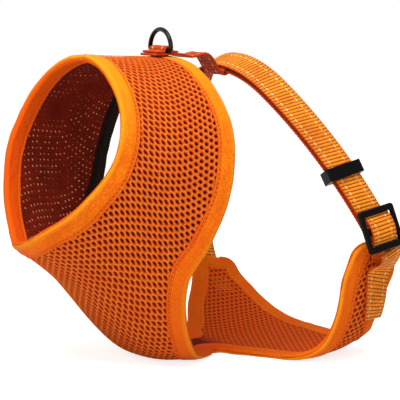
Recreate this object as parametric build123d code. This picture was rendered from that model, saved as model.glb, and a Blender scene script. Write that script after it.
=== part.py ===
from build123d import *
import math
import os

# Pull-over dog harness in air mesh, standing as if worn. Lengths in millimetres, angles in degrees.
# -Y is forward, towards the wearer's head. +X is the wearer's left. +Z is up.
# Lengths along the body are given from a datum in front of the neck, and ORIGIN_* moves the
# finished harness so that its origin is the middle of its base.
ORIGIN_X = 3.32
ORIGIN_Y = 155.17

# The worn shape: stations along the body, each with its half width, its lower and upper height,
# and how square its lower left corner is (2 is an ellipse).
STATIONS = [20, 70, 120, 170, 220, 280]
HALF_WIDTH = [50, 63, 75, 86, 95, 98]
BELLY_HEIGHT = [95, 57, 5.0, 1.8, -0.5, 3.2]
BACK_HEIGHT = [216, 212.5, 210, 209.6, 211, 213]
LEFT_SQUARENESS = [2.2, 2.2, 2.6, 4.2, 7.5, 3.0]
RIGHT_SQUARENESS = 2.2
BACK_SQUARENESS = 2.0

# The line that the angles are measured about: 0 is the left side, 90 the back, -90 the chest.
AXIS_HEIGHT = 155.0
AXIS_FALL = 0.22

# Free edges of the mesh body: angle, and length along the body.
NECK_EDGE = [(90, 83), (60, 81), (30, 78), (0, 68), (-30, 49), (-60, 31), (-90, 31),
             (-120, 45), (-150, 51), (-180, 57), (-210, 68), (-240, 77), (-270, 83)]
ARMHOLE_EDGE = [(90, 152), (70, 156), (50, 156), (30, 156), (10, 152), (-10, 146),
                (-30, 134), (-45, 123), (-58, 127), (-68, 144), (-76, 171)]
BELLY_FRONT_EDGE = [(-76, 186), (-68, 198), (-58, 209), (-48, 221), (-38, 229), (-28, 233),
                    (-20, 239), (-12, 246)]
BELLY_REAR_EDGE = [(-90, 282), (-70, 280), (-50, 275), (-40, 269), (-30, 273), (-22, 279),
                   (-12, 279)]
CHEST_ANGLE = -90
BACK_ANGLE = 90
LEFT_WING_END = -12.0      # angle at which the left wing ends
RIGHT_WING_END = -34.0     # the right wing has sunk further down the flank
WING_TAPE_ANGLE = 4.0      # angle that the tape on a wing's end takes up

# Cloth
MESH_THICK = 2.2
LINING_THICK = 1.3
LAYER_GAP = 0.3
BINDING_WIDTH = 12.5
BINDING_PROUD = 0.6
SEAM_GAP = 0.4
SEAM_TAPE_WIDTH = 16.0
SEAM_TAPE_THICK = 0.9

# Webbing
WEBBING_WIDTH = 20.0
WEBBING_THICK = 1.5
WEBBING_GAP = 2.8          # between the girth strap's two runs
STRAP_Y = 202.3            # where the girth strap crosses the back
STRAP_HEIGHT = 204.6
STRAP_TILT = 24.4          # lean of the strap's plane, top forward
TOP_RADIUS = 63.0          # over the back
TOP_TURN = 43.4            # angle each side of the middle that the top arc covers
SIDE_RADIUS = 238.0        # down each flank
SIDE_LENGTH = 141.0        # flank arc of the left side

# Hardware
RING_WIRE = 3.2
RING_WIDTH = 29.0
RING_RISE = 16.0           # bar's centre to the wire's outside at the top
RING_CORNER = 2.4
RING_Y = 146.0
RING_GRIP = 0.25
KEEPER_AT = 78.4           # along the flank arc
KEEPER_LENGTH = 9.0
KEEPER_WALL = 2.0
KEEPER_ROOM = 0.7
KEEPER_TURN = 12.0         # how far the keeper sits askew on the webbing
SLIDER_AT = 124.2
SLIDER_LENGTH = 30.0
SLIDER_WIDTH = 29.0
SLIDER_THICK = 3.0
SLIDER_BAR = 4.6
SLIDER_CLEARANCE = 0.4
SLIDER_TURN = 13.0         # how far the slider sits askew on the webbing
BUCKLE_AT = 82.0
SOCKET_LENGTH = 27.0
SOCKET_WIDTH = 27.0
SOCKET_THICK = 9.0
SOCKET_WALL = 1.6
SOCKET_BAR = 4.0
PLUG_LENGTH = 14.0
PLUG_BAR = 4.0
PRONG_LENGTH = 19.0
PRONG_WIDTH = 3.2
PRONG_THICK = 4.6
PRONG_HOOK = 2.2
PRONG_CLEARANCE = 0.3
PRONG_PIVOT = 1.2

# Thread
THREAD = 0.7
STITCH_BOX = 14.0
STITCH_LENGTH = 18.0

EDGE_ROUND = 0.8
FLOOR_SIZE = 800.0
ANGLE_STEP = 6.0           # between the sections of a cloth piece


def smooth(table, at):
    """A value read from a table of (place, value) by a smooth line through its points."""
    rows = sorted(table)
    places = [row[0] for row in rows]
    values = [row[1] for row in rows]
    last = len(rows) - 1
    slopes = []
    for i in range(last + 1):
        low, high = max(i - 1, 0), min(i + 1, last)
        slopes.append((values[high] - values[low]) / (places[high] - places[low]))
    if at <= places[0]:
        return values[0] + (at - places[0]) * slopes[0]
    if at >= places[last]:
        return values[last] + (at - places[last]) * slopes[last]
    i = max(k for k in range(last) if places[k] <= at)
    span = places[i + 1] - places[i]
    t = (at - places[i]) / span
    start = values[i] * (2 * t**3 - 3 * t**2 + 1) + slopes[i] * span * (t**3 - 2 * t**2 + t)
    end = values[i + 1] * (3 * t**2 - 2 * t**3) + slopes[i + 1] * span * (t**3 - t**2)
    return start + end


def axis_height(y):
    return AXIS_HEIGHT - AXIS_FALL * (y - STATIONS[0])


def reach(y, angle):
    """How far the outer face of the mesh lies from the body's axis."""
    c, s = math.cos(math.radians(angle)), math.sin(math.radians(angle))
    half = smooth(list(zip(STATIONS, HALF_WIDTH)), y)
    if s > 0:
        height = smooth(list(zip(STATIONS, BACK_HEIGHT)), y) - axis_height(y)
        square = BACK_SQUARENESS
    else:
        height = axis_height(y) - smooth(list(zip(STATIONS, BELLY_HEIGHT)), y)
        left = smooth(list(zip(STATIONS, LEFT_SQUARENESS)), y)
        square = left if c > 0 else RIGHT_SQUARENESS
    return (abs(c / half) ** square + abs(s / height) ** square) ** (-1 / square)


def skin(y, angle, depth=0.0):
    """The point at a depth under the mesh's outer face, within the plane of that angle."""
    c, s = math.cos(math.radians(angle)), math.sin(math.radians(angle))
    step = 1.0

    def on(v):
        r = reach(v, angle)
        return Vector(r * c, v, axis_height(v) + r * s)

    along = (on(y + step) - on(y - step)).normalized()
    out = Vector(c, 0, s)
    out = (out - along * out.dot(along)).normalized()
    return on(y) - out * depth


def strip_wire(angle, start, end, outer, inner, pieces=2):
    """The closed outline of a cloth strip in the plane of one angle."""
    ys = [start + (end - start) * i / pieces for i in range(pieces + 1)]
    top = [skin(y, angle, outer) for y in ys]
    low = [skin(y, angle, inner) for y in reversed(ys)]
    return Wire.make_polygon(top + low)


def angles_between(first, last, step=ANGLE_STEP):
    count = max(1, math.ceil(abs(last - first) / step))
    return [first + (last - first) * i / count for i in range(count + 1)]


def cloth(rows, outer, inner, pieces=2):
    """Cloth laid round the body through rows of angle, first edge and last edge."""
    wires = [strip_wire(angle, start, end, outer, inner, pieces) for angle, start, end in rows]
    return Solid.make_loft(wires, ruled=True)


def mirrored(angle):
    """The same place on the left half, for an angle on either half."""
    return angle if angle > CHEST_ANGLE else 2 * CHEST_ANGLE - angle


def neck_edge(angle):
    return smooth(NECK_EDGE, angle)


def armhole_edge(angle):
    return smooth(ARMHOLE_EDGE, mirrored(angle))


def belly_front_edge(angle):
    return smooth(BELLY_FRONT_EDGE, mirrored(angle))


def belly_rear_edge(angle):
    return smooth(BELLY_REAR_EDGE, mirrored(angle))


def on_side(rows, side):
    """Rows of the left side, or the same rows mirrored to the right side."""
    return rows if side > 0 else [(2 * CHEST_ANGLE - row[0], *row[1:]) for row in rows]


def whole_width(left, right=None):
    """Rows down the left side, followed by the right side's rows back up."""
    return left + on_side(list(reversed(right or left)), -1)


# The armhole's foot, between the legs, is a half circle of the free edge.
FOOT_ANGLE = ARMHOLE_EDGE[-1][0]
FOOT_Y = (ARMHOLE_EDGE[-1][1] + BELLY_FRONT_EDGE[0][1]) / 2
FOOT_RADIUS = (BELLY_FRONT_EDGE[0][1] - ARMHOLE_EDGE[-1][1]) / 2
FOOT_TURNS = [0, 22.5, 45, 67.5, 90]


def wing_end(side):
    return LEFT_WING_END if side > 0 else RIGHT_WING_END


def belly_angles(side):
    return angles_between(wing_end(side) - WING_TAPE_ANGLE, FOOT_ANGLE)


def foot(radius, turn):
    """Angle and length along the body of a point round the armhole's foot."""
    drop = radius * math.sin(math.radians(turn)) / reach(FOOT_Y, FOOT_ANGLE)
    return FOOT_ANGLE - math.degrees(drop), FOOT_Y - radius * math.cos(math.radians(turn))


def grounded(shape):
    """The shape cut flat where the harness rests."""
    return shape - Pos(0, FLOOR_SIZE / 4, -FLOOR_SIZE / 2) * Box(FLOOR_SIZE, FLOOR_SIZE, FLOOR_SIZE)


# --- Mesh and lining ---------------------------------------------------------------------------

LINING_AT = MESH_THICK + LAYER_GAP
LINING_END = LINING_AT + LINING_THICK
SEAM_ANGLE = 0.2                                   # half of the gap left at the top seam
TOP_ANGLE = BACK_ANGLE - SEAM_ANGLE
FOOT_INSET = FOOT_RADIUS + BINDING_WIDTH + SEAM_GAP


def tape_span(edge, angle):
    """Length along the body that the tape covers at an angle, more where its edge runs aslant."""
    step = 0.5
    rise = edge(angle + step) - edge(angle - step)
    across = math.radians(2 * step) * reach(edge(angle), angle)
    return BINDING_WIDTH * math.hypot(1, rise / across)


def neck_seam(angle):
    return neck_edge(angle) + tape_span(neck_edge, angle)


def armhole_seam(angle):
    return armhole_edge(angle) - tape_span(armhole_edge, angle)


def belly_front_seam(angle):
    return belly_front_edge(angle) + tape_span(belly_front_edge, angle)


def belly_rear_seam(angle):
    return belly_rear_edge(angle) - tape_span(belly_rear_edge, angle)


def chest_layer(outer, inner):
    left = [(a, armhole_seam(a) - SEAM_GAP) for a in angles_between(TOP_ANGLE, FOOT_ANGLE)]
    for turn in FOOT_TURNS[1:]:
        angle, y = foot(FOOT_INSET, turn)
        left.append((angle, y - SEAM_GAP / 2))
    rows = [(a, neck_seam(a) + SEAM_GAP, end) for a, end in whole_width(left)]
    return cloth(rows, outer, inner, pieces=8)


def belly_layer(outer, inner):
    halves = []
    for side in (1, -1):
        rows = [(a, belly_front_seam(a) + SEAM_GAP, belly_rear_seam(a) - SEAM_GAP)
                for a in belly_angles(side)]
        for turn in FOOT_TURNS[1:]:
            angle, y = foot(-FOOT_INSET, -turn)
            rows.append((angle, y + SEAM_GAP / 2, belly_rear_seam(angle) - SEAM_GAP))
        halves.append(rows)
    return grounded(cloth(whole_width(*halves), outer, inner, pieces=6))


# --- Bindings: tape folded over the edges ------------------------------------------------------

BIND_OUT = -BINDING_PROUD
BIND_IN = LINING_END + BINDING_PROUD


def neck_binding():
    rows = [(a, neck_edge(a), neck_seam(a))
            for a in angles_between(TOP_ANGLE, 2 * CHEST_ANGLE - TOP_ANGLE)]
    return cloth(rows, BIND_OUT, BIND_IN)


def tape_wire(free, sewn):
    """The four corners of folded tape between its free edge and its sewn edge."""
    (free_angle, free_y), (sewn_angle, sewn_y) = free, sewn
    return Wire.make_polygon([
        skin(free_y, free_angle, BIND_OUT), skin(sewn_y, sewn_angle, BIND_OUT),
        skin(sewn_y, sewn_angle, BIND_IN), skin(free_y, free_angle, BIND_IN)])


def armhole_binding(side):
    """One tape: down the front of the armhole, round its foot, and up the belly band."""
    pairs = [((a, armhole_edge(a)), (a, armhole_seam(a)))
             for a in angles_between(TOP_ANGLE, FOOT_ANGLE)]
    turns = FOOT_TURNS[1:] + [180 - turn for turn in FOOT_TURNS[-2:0:-1]]
    pairs += [(foot(FOOT_RADIUS, t), foot(FOOT_RADIUS + BINDING_WIDTH, t)) for t in turns]
    pairs += [((a, belly_front_edge(a)), (a, belly_front_seam(a)))
              for a in belly_angles(side)[::-1] + [wing_end(side)]]
    wires = [tape_wire(*on_side(list(pair), side)) for pair in pairs]
    return grounded(Solid.make_loft(wires, ruled=True))


def rear_binding():
    low = [foot(-FOOT_INSET, -turn)[0] for turn in FOOT_TURNS[1:]]
    halves = [[(a, belly_rear_seam(a), belly_rear_edge(a))
               for a in [wing_end(side)] + belly_angles(side) + low] for side in (1, -1)]
    return cloth(whole_width(*halves), BIND_OUT, BIND_IN)


def wing_end_binding(side):
    rows = [(a, belly_front_seam(a) + SEAM_GAP, belly_rear_seam(a) - SEAM_GAP)
            for a in (wing_end(side), wing_end(side) - WING_TAPE_ANGLE + SEAM_ANGLE)]
    return cloth(on_side(rows, side), BIND_OUT, BIND_IN)


def top_seam_tape():
    """Covers the top seam on the inside."""
    front = neck_seam(BACK_ANGLE) + SEAM_GAP
    back = armhole_seam(BACK_ANGLE) - SEAM_GAP
    turn = math.degrees(SEAM_TAPE_WIDTH / 2 / reach(back, BACK_ANGLE))
    low = min(skin(y, BACK_ANGLE - turn, BIND_IN).Z for y in (front, back)) - LAYER_GAP
    return Pos(0, (front + back) / 2, low - SEAM_TAPE_THICK / 2) * Box(
        SEAM_TAPE_WIDTH, back - front, SEAM_TAPE_THICK)


# --- Girth strap -------------------------------------------------------------------------------

STRAP_PLANE = Plane(
    origin=(0, STRAP_Y, STRAP_HEIGHT), x_dir=(1, 0, 0),
    z_dir=(0, math.cos(math.radians(STRAP_TILT)), math.sin(math.radians(STRAP_TILT))))
OUTER_LOW = WEBBING_GAP / 2
OUTER_HIGH = OUTER_LOW + WEBBING_THICK


def strap_point(turn, rise=0.0):
    """A point of the strap's line in its own plane, at a turn from the middle of the back."""
    s, c = math.sin(math.radians(turn)), math.cos(math.radians(turn))
    if abs(turn) <= TOP_TURN:
        r = TOP_RADIUS + rise
        return (r * s, TOP_RADIUS - r * c)
    side = math.copysign(1, turn)
    shift = SIDE_RADIUS - TOP_RADIUS
    centre_x = -side * shift * math.sin(math.radians(TOP_TURN))
    centre_y = TOP_RADIUS + shift * math.cos(math.radians(TOP_TURN))
    r = SIDE_RADIUS + rise
    return (centre_x + r * s, centre_y - r * c)


def flank_turn(length):
    """The turn at a length along the flank arc, counted from the end of the top arc."""
    return TOP_TURN + math.degrees(length / SIDE_RADIUS)


def strap_arc(first, last, rise):
    middle = (first + last) / 2
    return ThreePointArc(strap_point(first, rise), strap_point(middle, rise),
                         strap_point(last, rise))


def run(low, high, right, left):
    """A run of webbing over the back, between two turns."""
    stops = [right, -TOP_TURN, TOP_TURN, left]
    pairs = list(zip(stops[:-1], stops[1:]))
    top = [strap_arc(a, b, high) for a, b in pairs]
    under = [strap_arc(b, a, low) for a, b in reversed(pairs)]
    edges = top + [Line(strap_point(left, high), strap_point(left, low))] + under
    edges.append(Line(strap_point(right, low), strap_point(right, high)))
    face = make_face(Wire(edges))
    return STRAP_PLANE * extrude(face, WEBBING_WIDTH / 2, both=True)


def on_flank(length, side=1):
    """A place on the flank arc: X along the webbing downwards, Z outwards, Y across it."""
    turn = side * flank_turn(length)
    x, y = strap_point(turn)
    s, c = math.sin(math.radians(turn)), math.cos(math.radians(turn))
    tangent = Vector(c, s) * side
    outward = Vector(s, -c)
    origin = STRAP_PLANE.from_local_coords(Vector(x, y, 0))
    ahead = STRAP_PLANE.from_local_coords(Vector(x + tangent.X, y + tangent.Y, 0)) - origin
    above = STRAP_PLANE.from_local_coords(Vector(x + outward.X, y + outward.Y, 0)) - origin
    return Plane(origin=origin, x_dir=ahead, z_dir=above)


def keeper():
    """Square loop that holds both runs."""
    room = OUTER_HIGH + KEEPER_ROOM
    askew = math.radians(KEEPER_TURN)
    width = WEBBING_WIDTH / math.cos(askew) + KEEPER_LENGTH * math.tan(askew) + 2 * KEEPER_ROOM
    body = Box(KEEPER_LENGTH, width + 2 * KEEPER_WALL, 2 * (room + KEEPER_WALL))
    body = fillet(body.edges().filter_by(Axis.X), KEEPER_WALL / 2)
    body -= Box(2 * KEEPER_LENGTH, width, 2 * room)
    return on_flank(KEEPER_AT).location * Rot(0, 0, -KEEPER_TURN) * body


SLIDER_LOW = OUTER_HIGH + SLIDER_CLEARANCE


def slider_place():
    return on_flank(SLIDER_AT).location * Rot(0, 0, -SLIDER_TURN)


def slider():
    """Tri-glide: two end bars and a centre bar between two rails."""
    body = Box(SLIDER_LENGTH, SLIDER_WIDTH, SLIDER_THICK)
    body = fillet(body.edges().filter_by(Axis.Z), 3 * EDGE_ROUND)
    body = fillet(body.faces().sort_by(Axis.Z)[-1].edges(), EDGE_ROUND)
    slot = (SLIDER_LENGTH - 3 * SLIDER_BAR) / 2
    across = WEBBING_WIDTH + 4 * EDGE_ROUND
    for way in (-1, 1):
        body -= Pos(way * (slot + SLIDER_BAR) / 2, 0, 0) * Box(slot, across, 2 * SLIDER_THICK)
    return slider_place() * Pos(0, 0, SLIDER_LOW + SLIDER_THICK / 2) * body


def slider_webbing():
    """The webbing's hump over the slider's centre bar."""
    slot = (SLIDER_LENGTH - 3 * SLIDER_BAR) / 2
    reach_out = SLIDER_BAR / 2 + slot - SLIDER_CLEARANCE
    rise = SLIDER_THICK + WEBBING_THICK + SLIDER_CLEARANCE
    foot_in = reach_out - 1.4 * WEBBING_THICK
    top = ThreePointArc((-reach_out, 0), (0, rise), (reach_out, 0))
    under = ThreePointArc((foot_in, 0), (0, rise - WEBBING_THICK), (-foot_in, 0))
    face = make_face(Wire([top, Line((reach_out, 0), (foot_in, 0)), under,
                           Line((-foot_in, 0), (-reach_out, 0))]))
    hump = extrude(Plane.XZ * face, WEBBING_WIDTH / 2, both=True)
    return slider_place() * Pos(0, 0, SLIDER_LOW) * hump


# --- Webbing on the wings ----------------------------------------------------------------------

def strap_end_wire(turn, low, high):
    half = WEBBING_WIDTH / 2
    corners = []
    for rise, places in ((high, (-half, 0, half)), (low, (half, 0, -half))):
        x, y = strap_point(turn, rise)
        corners += [STRAP_PLANE.from_local_coords(Vector(x, y, across)) for across in places]
    return Wire.make_polygon(corners)


LEFT_WEBBING_Y = 261.5
RIGHT_WEBBING_Y = 246.0
LEFT_WEBBING = (-24.0, -38.0)     # angles between which each wing's webbing lies along it
RIGHT_WEBBING = (-30.0, -56.0)
STITCH_ANGLE = 7.0          # from the webbing's end to the middle of its stitching
WEBBING_STEP = 2.5
SEAT = BINDING_PROUD + LAYER_GAP


def webbing_ends(side):
    return LEFT_WEBBING if side > 0 else RIGHT_WEBBING


def webbing_y(side):
    return LEFT_WEBBING_Y if side > 0 else RIGHT_WEBBING_Y


def wing_wire(angle, side, low=SEAT, high=SEAT + WEBBING_THICK):
    turned = angle if side > 0 else 2 * CHEST_ANGLE - angle
    y0, y1 = webbing_y(side) - WEBBING_WIDTH / 2, webbing_y(side) + WEBBING_WIDTH / 2
    return strip_wire(turned, y0, y1, -high, -low)


def wing_webbing(side, turn):
    """From the strap's end down over the wing, lying on its outer face."""
    wires = [strap_end_wire(side * turn, OUTER_LOW, OUTER_HIGH)]
    wires += [wing_wire(a, side) for a in angles_between(*webbing_ends(side), WEBBING_STEP)]
    return Solid.make_loft(wires, ruled=True)


def wing_stitching(side):
    """Box and cross of thread on the webbing's sewn end."""
    low = SEAT + WEBBING_THICK + LAYER_GAP
    end = webbing_ends(side)[1]
    angles = angles_between(end + 2 * STITCH_ANGLE, end, WEBBING_STEP)
    layer = Solid.make_loft([wing_wire(a, side, low, low + THREAD) for a in angles], ruled=True)
    middle = (angles[0] + angles[-1]) / 2
    turned = middle if side > 0 else 2 * CHEST_ANGLE - middle
    at = skin(webbing_y(side), turned)
    ahead = skin(webbing_y(side) + STITCH_BOX, turned) - at
    out = skin(webbing_y(side), turned, -THREAD) - at
    cross = math.degrees(math.atan2(STITCH_LENGTH, STITCH_BOX))
    reach_out = math.hypot(STITCH_LENGTH, STITCH_BOX)
    pattern = Rectangle(STITCH_BOX + THREAD, STITCH_LENGTH + THREAD)
    pattern -= Rectangle(STITCH_BOX - THREAD, STITCH_LENGTH - THREAD)
    pattern += Rot(0, 0, cross) * Rectangle(reach_out, THREAD)
    pattern += Rot(0, 0, -cross) * Rectangle(reach_out, THREAD)
    block = Plane(origin=at, x_dir=ahead, z_dir=out) * extrude(pattern, STITCH_LENGTH, both=True)
    return block & layer


# --- Spine webbing and leash ring --------------------------------------------------------------

SPINE_LEAD = 10.0           # of the spine webbing in front of the ring
SPINE_LOOP_SIDE = 1.0       # room for the inner run's edges in the spine webbing's loop
SPINE_LOOP_ROOM = 0.35      # room over and under the inner run
RING_FLANGE = 5.0           # sewn flange each side of the ring's bar
SPINE_FRONT = RING_Y - SPINE_LEAD
SPINE_LOW = max(smooth(list(zip(STATIONS, BACK_HEIGHT)), y) for y in (SPINE_FRONT, RING_Y)) + SEAT
SPINE_HIGH = SPINE_LOW + WEBBING_THICK
SPINE_SAG = (21.0, -2.0)    # behind the ring, and above the webbing's level under the ring
SPINE_CREST = (34.0, -0.5)
RING_BAR_Z = SPINE_HIGH + RING_GRIP + RING_WIRE / 2


def spine_end():
    """Where the spine webbing's middle reaches the front of its loop."""
    across = WEBBING_WIDTH / 2 + SPINE_LOOP_SIDE + 1.5 * WEBBING_THICK + LAYER_GAP
    return STRAP_PLANE.from_local_coords(Vector(0, WEBBING_GAP / 2, -across))


def spine_webbing():
    """Webbing along the back under the ring, and on to the girth strap's loop."""
    middle = (SPINE_LOW + SPINE_HIGH) / 2
    end = spine_end()
    line = [Vector(SPINE_FRONT, middle), Vector(RING_Y + SPINE_LEAD, middle)]
    line += [Vector(RING_Y + back, middle + rise) for back, rise in (SPINE_SAG, SPINE_CREST)]
    line.append(Vector(end.Y, end.Z))
    ways = [(b - a).normalized() for a, b in zip(line[:-1], line[1:])]
    turns = [(a + b).normalized() for a, b in zip(ways[:1] + ways, ways + ways[-1:])]
    ups = [Vector(-way.Y, way.X) * (WEBBING_THICK / 2) for way in turns]
    top = [point + up for point, up in zip(line, ups)]
    under = [point - up for point, up in zip(reversed(line), reversed(ups))]
    face = make_face(Polyline(*top, *under, close=True))
    return extrude(Plane.YZ * face, WEBBING_WIDTH / 2, both=True)


def ring_loop():
    """Short webbing folded over the ring's bar and sewn down each side."""
    hole = RING_WIRE / 2 + RING_GRIP
    outer = hole + WEBBING_THICK
    foot = SPINE_HIGH - RING_BAR_Z + LAYER_GAP
    profile = Circle(outer) + Pos(0, foot + WEBBING_THICK / 2) * Rectangle(
        2 * (outer + RING_FLANGE), WEBBING_THICK)
    profile -= Circle(hole)
    profile -= Pos(0, foot - outer) * Rectangle(4 * outer, 2 * outer)
    solid = extrude(Plane.YZ * profile, WEBBING_WIDTH / 2, both=True)
    return Pos(0, RING_Y, RING_BAR_Z) * solid


def leash_ring():
    """D ring of round wire: a straight bar under a bow."""
    bow = (RING_WIDTH - RING_WIRE) / 2
    middle = RING_RISE - RING_WIRE / 2 - bow
    shape = Pos(0, middle) * Circle(bow) - Pos(0, -RING_WIDTH) * Rectangle(
        2 * RING_WIDTH, 2 * RING_WIDTH)
    shape = fillet(shape.vertices(), RING_CORNER)
    path = shape.faces()[0].outer_wire()
    ring = sweep(Plane(origin=path @ 0, z_dir=path % 0) * Circle(RING_WIRE / 2), path=path)
    return Pos(0, RING_Y, RING_BAR_Z) * Rot(90, 0, 0) * ring


def spine_loop():
    """The spine webbing's end, folded round the girth strap's inner run."""
    wide = WEBBING_WIDTH + 2 * SPINE_LOOP_SIDE
    tall = WEBBING_THICK + 2 * SPINE_LOOP_ROOM
    corner = tall / 2 - 0.05
    outer = RectangleRounded(tall + 2 * WEBBING_THICK, wide + 2 * WEBBING_THICK,
                             corner + WEBBING_THICK)
    inner = RectangleRounded(tall, wide, corner)
    middle = (OUTER_LOW + OUTER_HIGH) / 2
    turn = math.degrees(WEBBING_WIDTH / 2 / TOP_RADIUS)
    section = Plane.YZ * Pos(middle, 0) * (outer - inner)
    centre = Axis((0, TOP_RADIUS, 0), (0, 0, 1))
    sleeve = revolve(section, centre, 2 * turn)
    return STRAP_PLANE * sleeve.rotate(centre, -turn)


# --- Buckle on the right side ------------------------------------------------------------------

def buckle_place():
    return on_flank(BUCKLE_AT, -1).location


CAVITY = SOCKET_THICK - 2 * SOCKET_WALL
PRONG_Y = SOCKET_WIDTH / 2 - SOCKET_WALL - PRONG_CLEARANCE - PRONG_WIDTH / 2
WINDOW_START = 9.0
WINDOW_LENGTH = 8.0


def buckle_socket():
    """Female half: a flat box with side windows and a bar for the wing's webbing."""
    bar_slot = SOCKET_BAR
    length = SOCKET_LENGTH + bar_slot + SOCKET_BAR
    body = Pos(length / 2, 0, 0) * Box(length, SOCKET_WIDTH, SOCKET_THICK)
    body = fillet(body.edges().filter_by(Axis.X), SOCKET_THICK / 4)
    cavity = SOCKET_LENGTH - SOCKET_WALL
    body -= Pos(cavity / 2, 0, 0) * Box(cavity, SOCKET_WIDTH - 2 * SOCKET_WALL, CAVITY)
    body -= Pos(WINDOW_START + WINDOW_LENGTH / 2, 0, 0) * Box(
        WINDOW_LENGTH, 2 * SOCKET_WIDTH, CAVITY)
    body -= Pos(SOCKET_LENGTH + bar_slot / 2, 0, 0) * Box(
        bar_slot, WEBBING_WIDTH + 2 * KEEPER_ROOM, 2 * SOCKET_THICK)
    return buckle_place() * body


def buckle_plug():
    """Male half's head, its webbing bar and its centre tongue."""
    head = Pos(-PLUG_LENGTH / 2 - PRONG_CLEARANCE, 0, 0) * Box(
        PLUG_LENGTH, SOCKET_WIDTH, SOCKET_THICK)
    head = fillet(head.edges().filter_by(Axis.X), SOCKET_THICK / 4)
    slot_x = -PRONG_CLEARANCE - PLUG_LENGTH + PLUG_BAR + PLUG_BAR / 2
    head -= Pos(slot_x, 0, 0) * Box(PLUG_BAR, WEBBING_WIDTH + 2 * KEEPER_ROOM, 2 * SOCKET_THICK)
    for way in (-1, 1):
        head -= Pos(-PRONG_CLEARANCE, way * PRONG_Y, 0) * Box(
            2 * (PRONG_WIDTH + PRONG_CLEARANCE), PRONG_WIDTH + 4 * PRONG_CLEARANCE,
            PRONG_THICK + 2 * PRONG_CLEARANCE)
    tongue = Pos(PRONG_LENGTH / 2 - PRONG_CLEARANCE, 0, 0) * Box(
        PRONG_LENGTH, PRONG_WIDTH, PRONG_THICK)
    return buckle_place() * (head + tongue)


def prong(side):
    """One sprung arm of the plug, with its hook in the socket's window."""
    start = -PRONG_CLEARANCE - PRONG_PIVOT
    end = WINDOW_START + WINDOW_LENGTH - PRONG_CLEARANCE
    hook_from = WINDOW_START + PRONG_CLEARANCE
    inner, outer = PRONG_Y - PRONG_WIDTH / 2, PRONG_Y + PRONG_WIDTH / 2
    tip = outer + PRONG_HOOK
    face = make_face(Polyline((start, inner), (end, inner), (end, outer), (hook_from, tip),
                              (hook_from, outer), (start, outer), close=True))
    arm = extrude(face, PRONG_THICK / 2, both=True)
    if side < 0:
        arm = mirror(arm, Plane.XZ)
    return buckle_place() * arm


# --- The whole harness -------------------------------------------------------------------------

STRAP_END_TURN = flank_turn(SIDE_LENGTH)
LEFT_END_TURN = flank_turn(SIDE_LENGTH + SEAM_GAP)
INNER_END_TURN = flank_turn(SLIDER_AT - SLIDER_BAR)
PLUG_TURN = flank_turn(BUCKLE_AT - PLUG_LENGTH - 2 * PRONG_CLEARANCE)
SOCKET_TURN = flank_turn(BUCKLE_AT + SOCKET_LENGTH + 2 * SOCKET_BAR + PRONG_CLEARANCE)


def all_parts():
    return {
        "chest_mesh": chest_layer(0, MESH_THICK),
        "chest_lining": chest_layer(LINING_AT, LINING_END),
        "belly_mesh": belly_layer(0, MESH_THICK),
        "belly_lining": belly_layer(LINING_AT, LINING_END),
        "neck_binding": neck_binding(),
        "left_armhole_binding": armhole_binding(1),
        "right_armhole_binding": armhole_binding(-1),
        "belly_rear_binding": rear_binding(),
        "left_wing_end_binding": wing_end_binding(1),
        "right_wing_end_binding": wing_end_binding(-1),
        "top_seam_tape": top_seam_tape(),
        "spine_webbing": spine_webbing(),
        "spine_loop": spine_loop(),
        "ring_loop": ring_loop(),
        "leash_ring": leash_ring(),
        "girth_strap_outer": run(OUTER_LOW, OUTER_HIGH, -PLUG_TURN, STRAP_END_TURN),
        "girth_strap_inner": run(-OUTER_HIGH, -OUTER_LOW, -PLUG_TURN, INNER_END_TURN),
        "strap_keeper": keeper(),
        "strap_slider": slider(),
        "slider_webbing": slider_webbing(),
        "left_wing_webbing": wing_webbing(1, LEFT_END_TURN),
        "right_wing_webbing": wing_webbing(-1, SOCKET_TURN),
        "left_wing_stitching": wing_stitching(1),
        "right_wing_stitching": wing_stitching(-1),
        "buckle_socket": buckle_socket(),
        "buckle_plug": buckle_plug(),
        "front_prong": prong(1),
        "rear_prong": prong(-1),
    }


def main():
    os.makedirs("parts", exist_ok=True)
    for node, shape in all_parts().items():
        export_step(Pos(-ORIGIN_X, -ORIGIN_Y, 0) * shape, f"parts/{node}.step")


main()
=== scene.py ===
"""Looks of a pull-over dog harness in air mesh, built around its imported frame."""

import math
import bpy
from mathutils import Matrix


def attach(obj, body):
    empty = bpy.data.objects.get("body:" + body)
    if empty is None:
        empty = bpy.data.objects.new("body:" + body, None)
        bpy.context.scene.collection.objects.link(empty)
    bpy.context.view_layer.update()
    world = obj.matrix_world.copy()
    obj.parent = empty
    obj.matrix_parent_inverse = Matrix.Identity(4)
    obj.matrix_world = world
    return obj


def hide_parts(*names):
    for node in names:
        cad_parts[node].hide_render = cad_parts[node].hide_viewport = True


bl_info = {
    "name": "Air mesh dog harness",
    "version": (1, 0, 0),
    "blender": (4, 5, 0),
    "location": "View3D > Sidebar > Harness",
    "description": "Cloth, binding, webbing and hardware of a pull-over dog harness",
    "category": "Add Mesh",
}

import bpy
import numpy as np
from mathutils import Matrix, Vector

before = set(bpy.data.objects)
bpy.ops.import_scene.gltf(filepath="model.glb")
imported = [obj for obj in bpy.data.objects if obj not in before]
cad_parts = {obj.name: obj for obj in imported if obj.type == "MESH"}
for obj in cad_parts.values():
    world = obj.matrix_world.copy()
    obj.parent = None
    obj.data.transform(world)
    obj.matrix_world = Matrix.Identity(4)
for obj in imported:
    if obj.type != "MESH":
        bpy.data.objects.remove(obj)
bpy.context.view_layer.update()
MM = 0.001

# --- The worn shape, in millimetres and degrees from the frame's own datum ---
# -Y is forward, +X the wearer's left. Angles go round the body: 0 left, 90 back, -90 chest.

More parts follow.
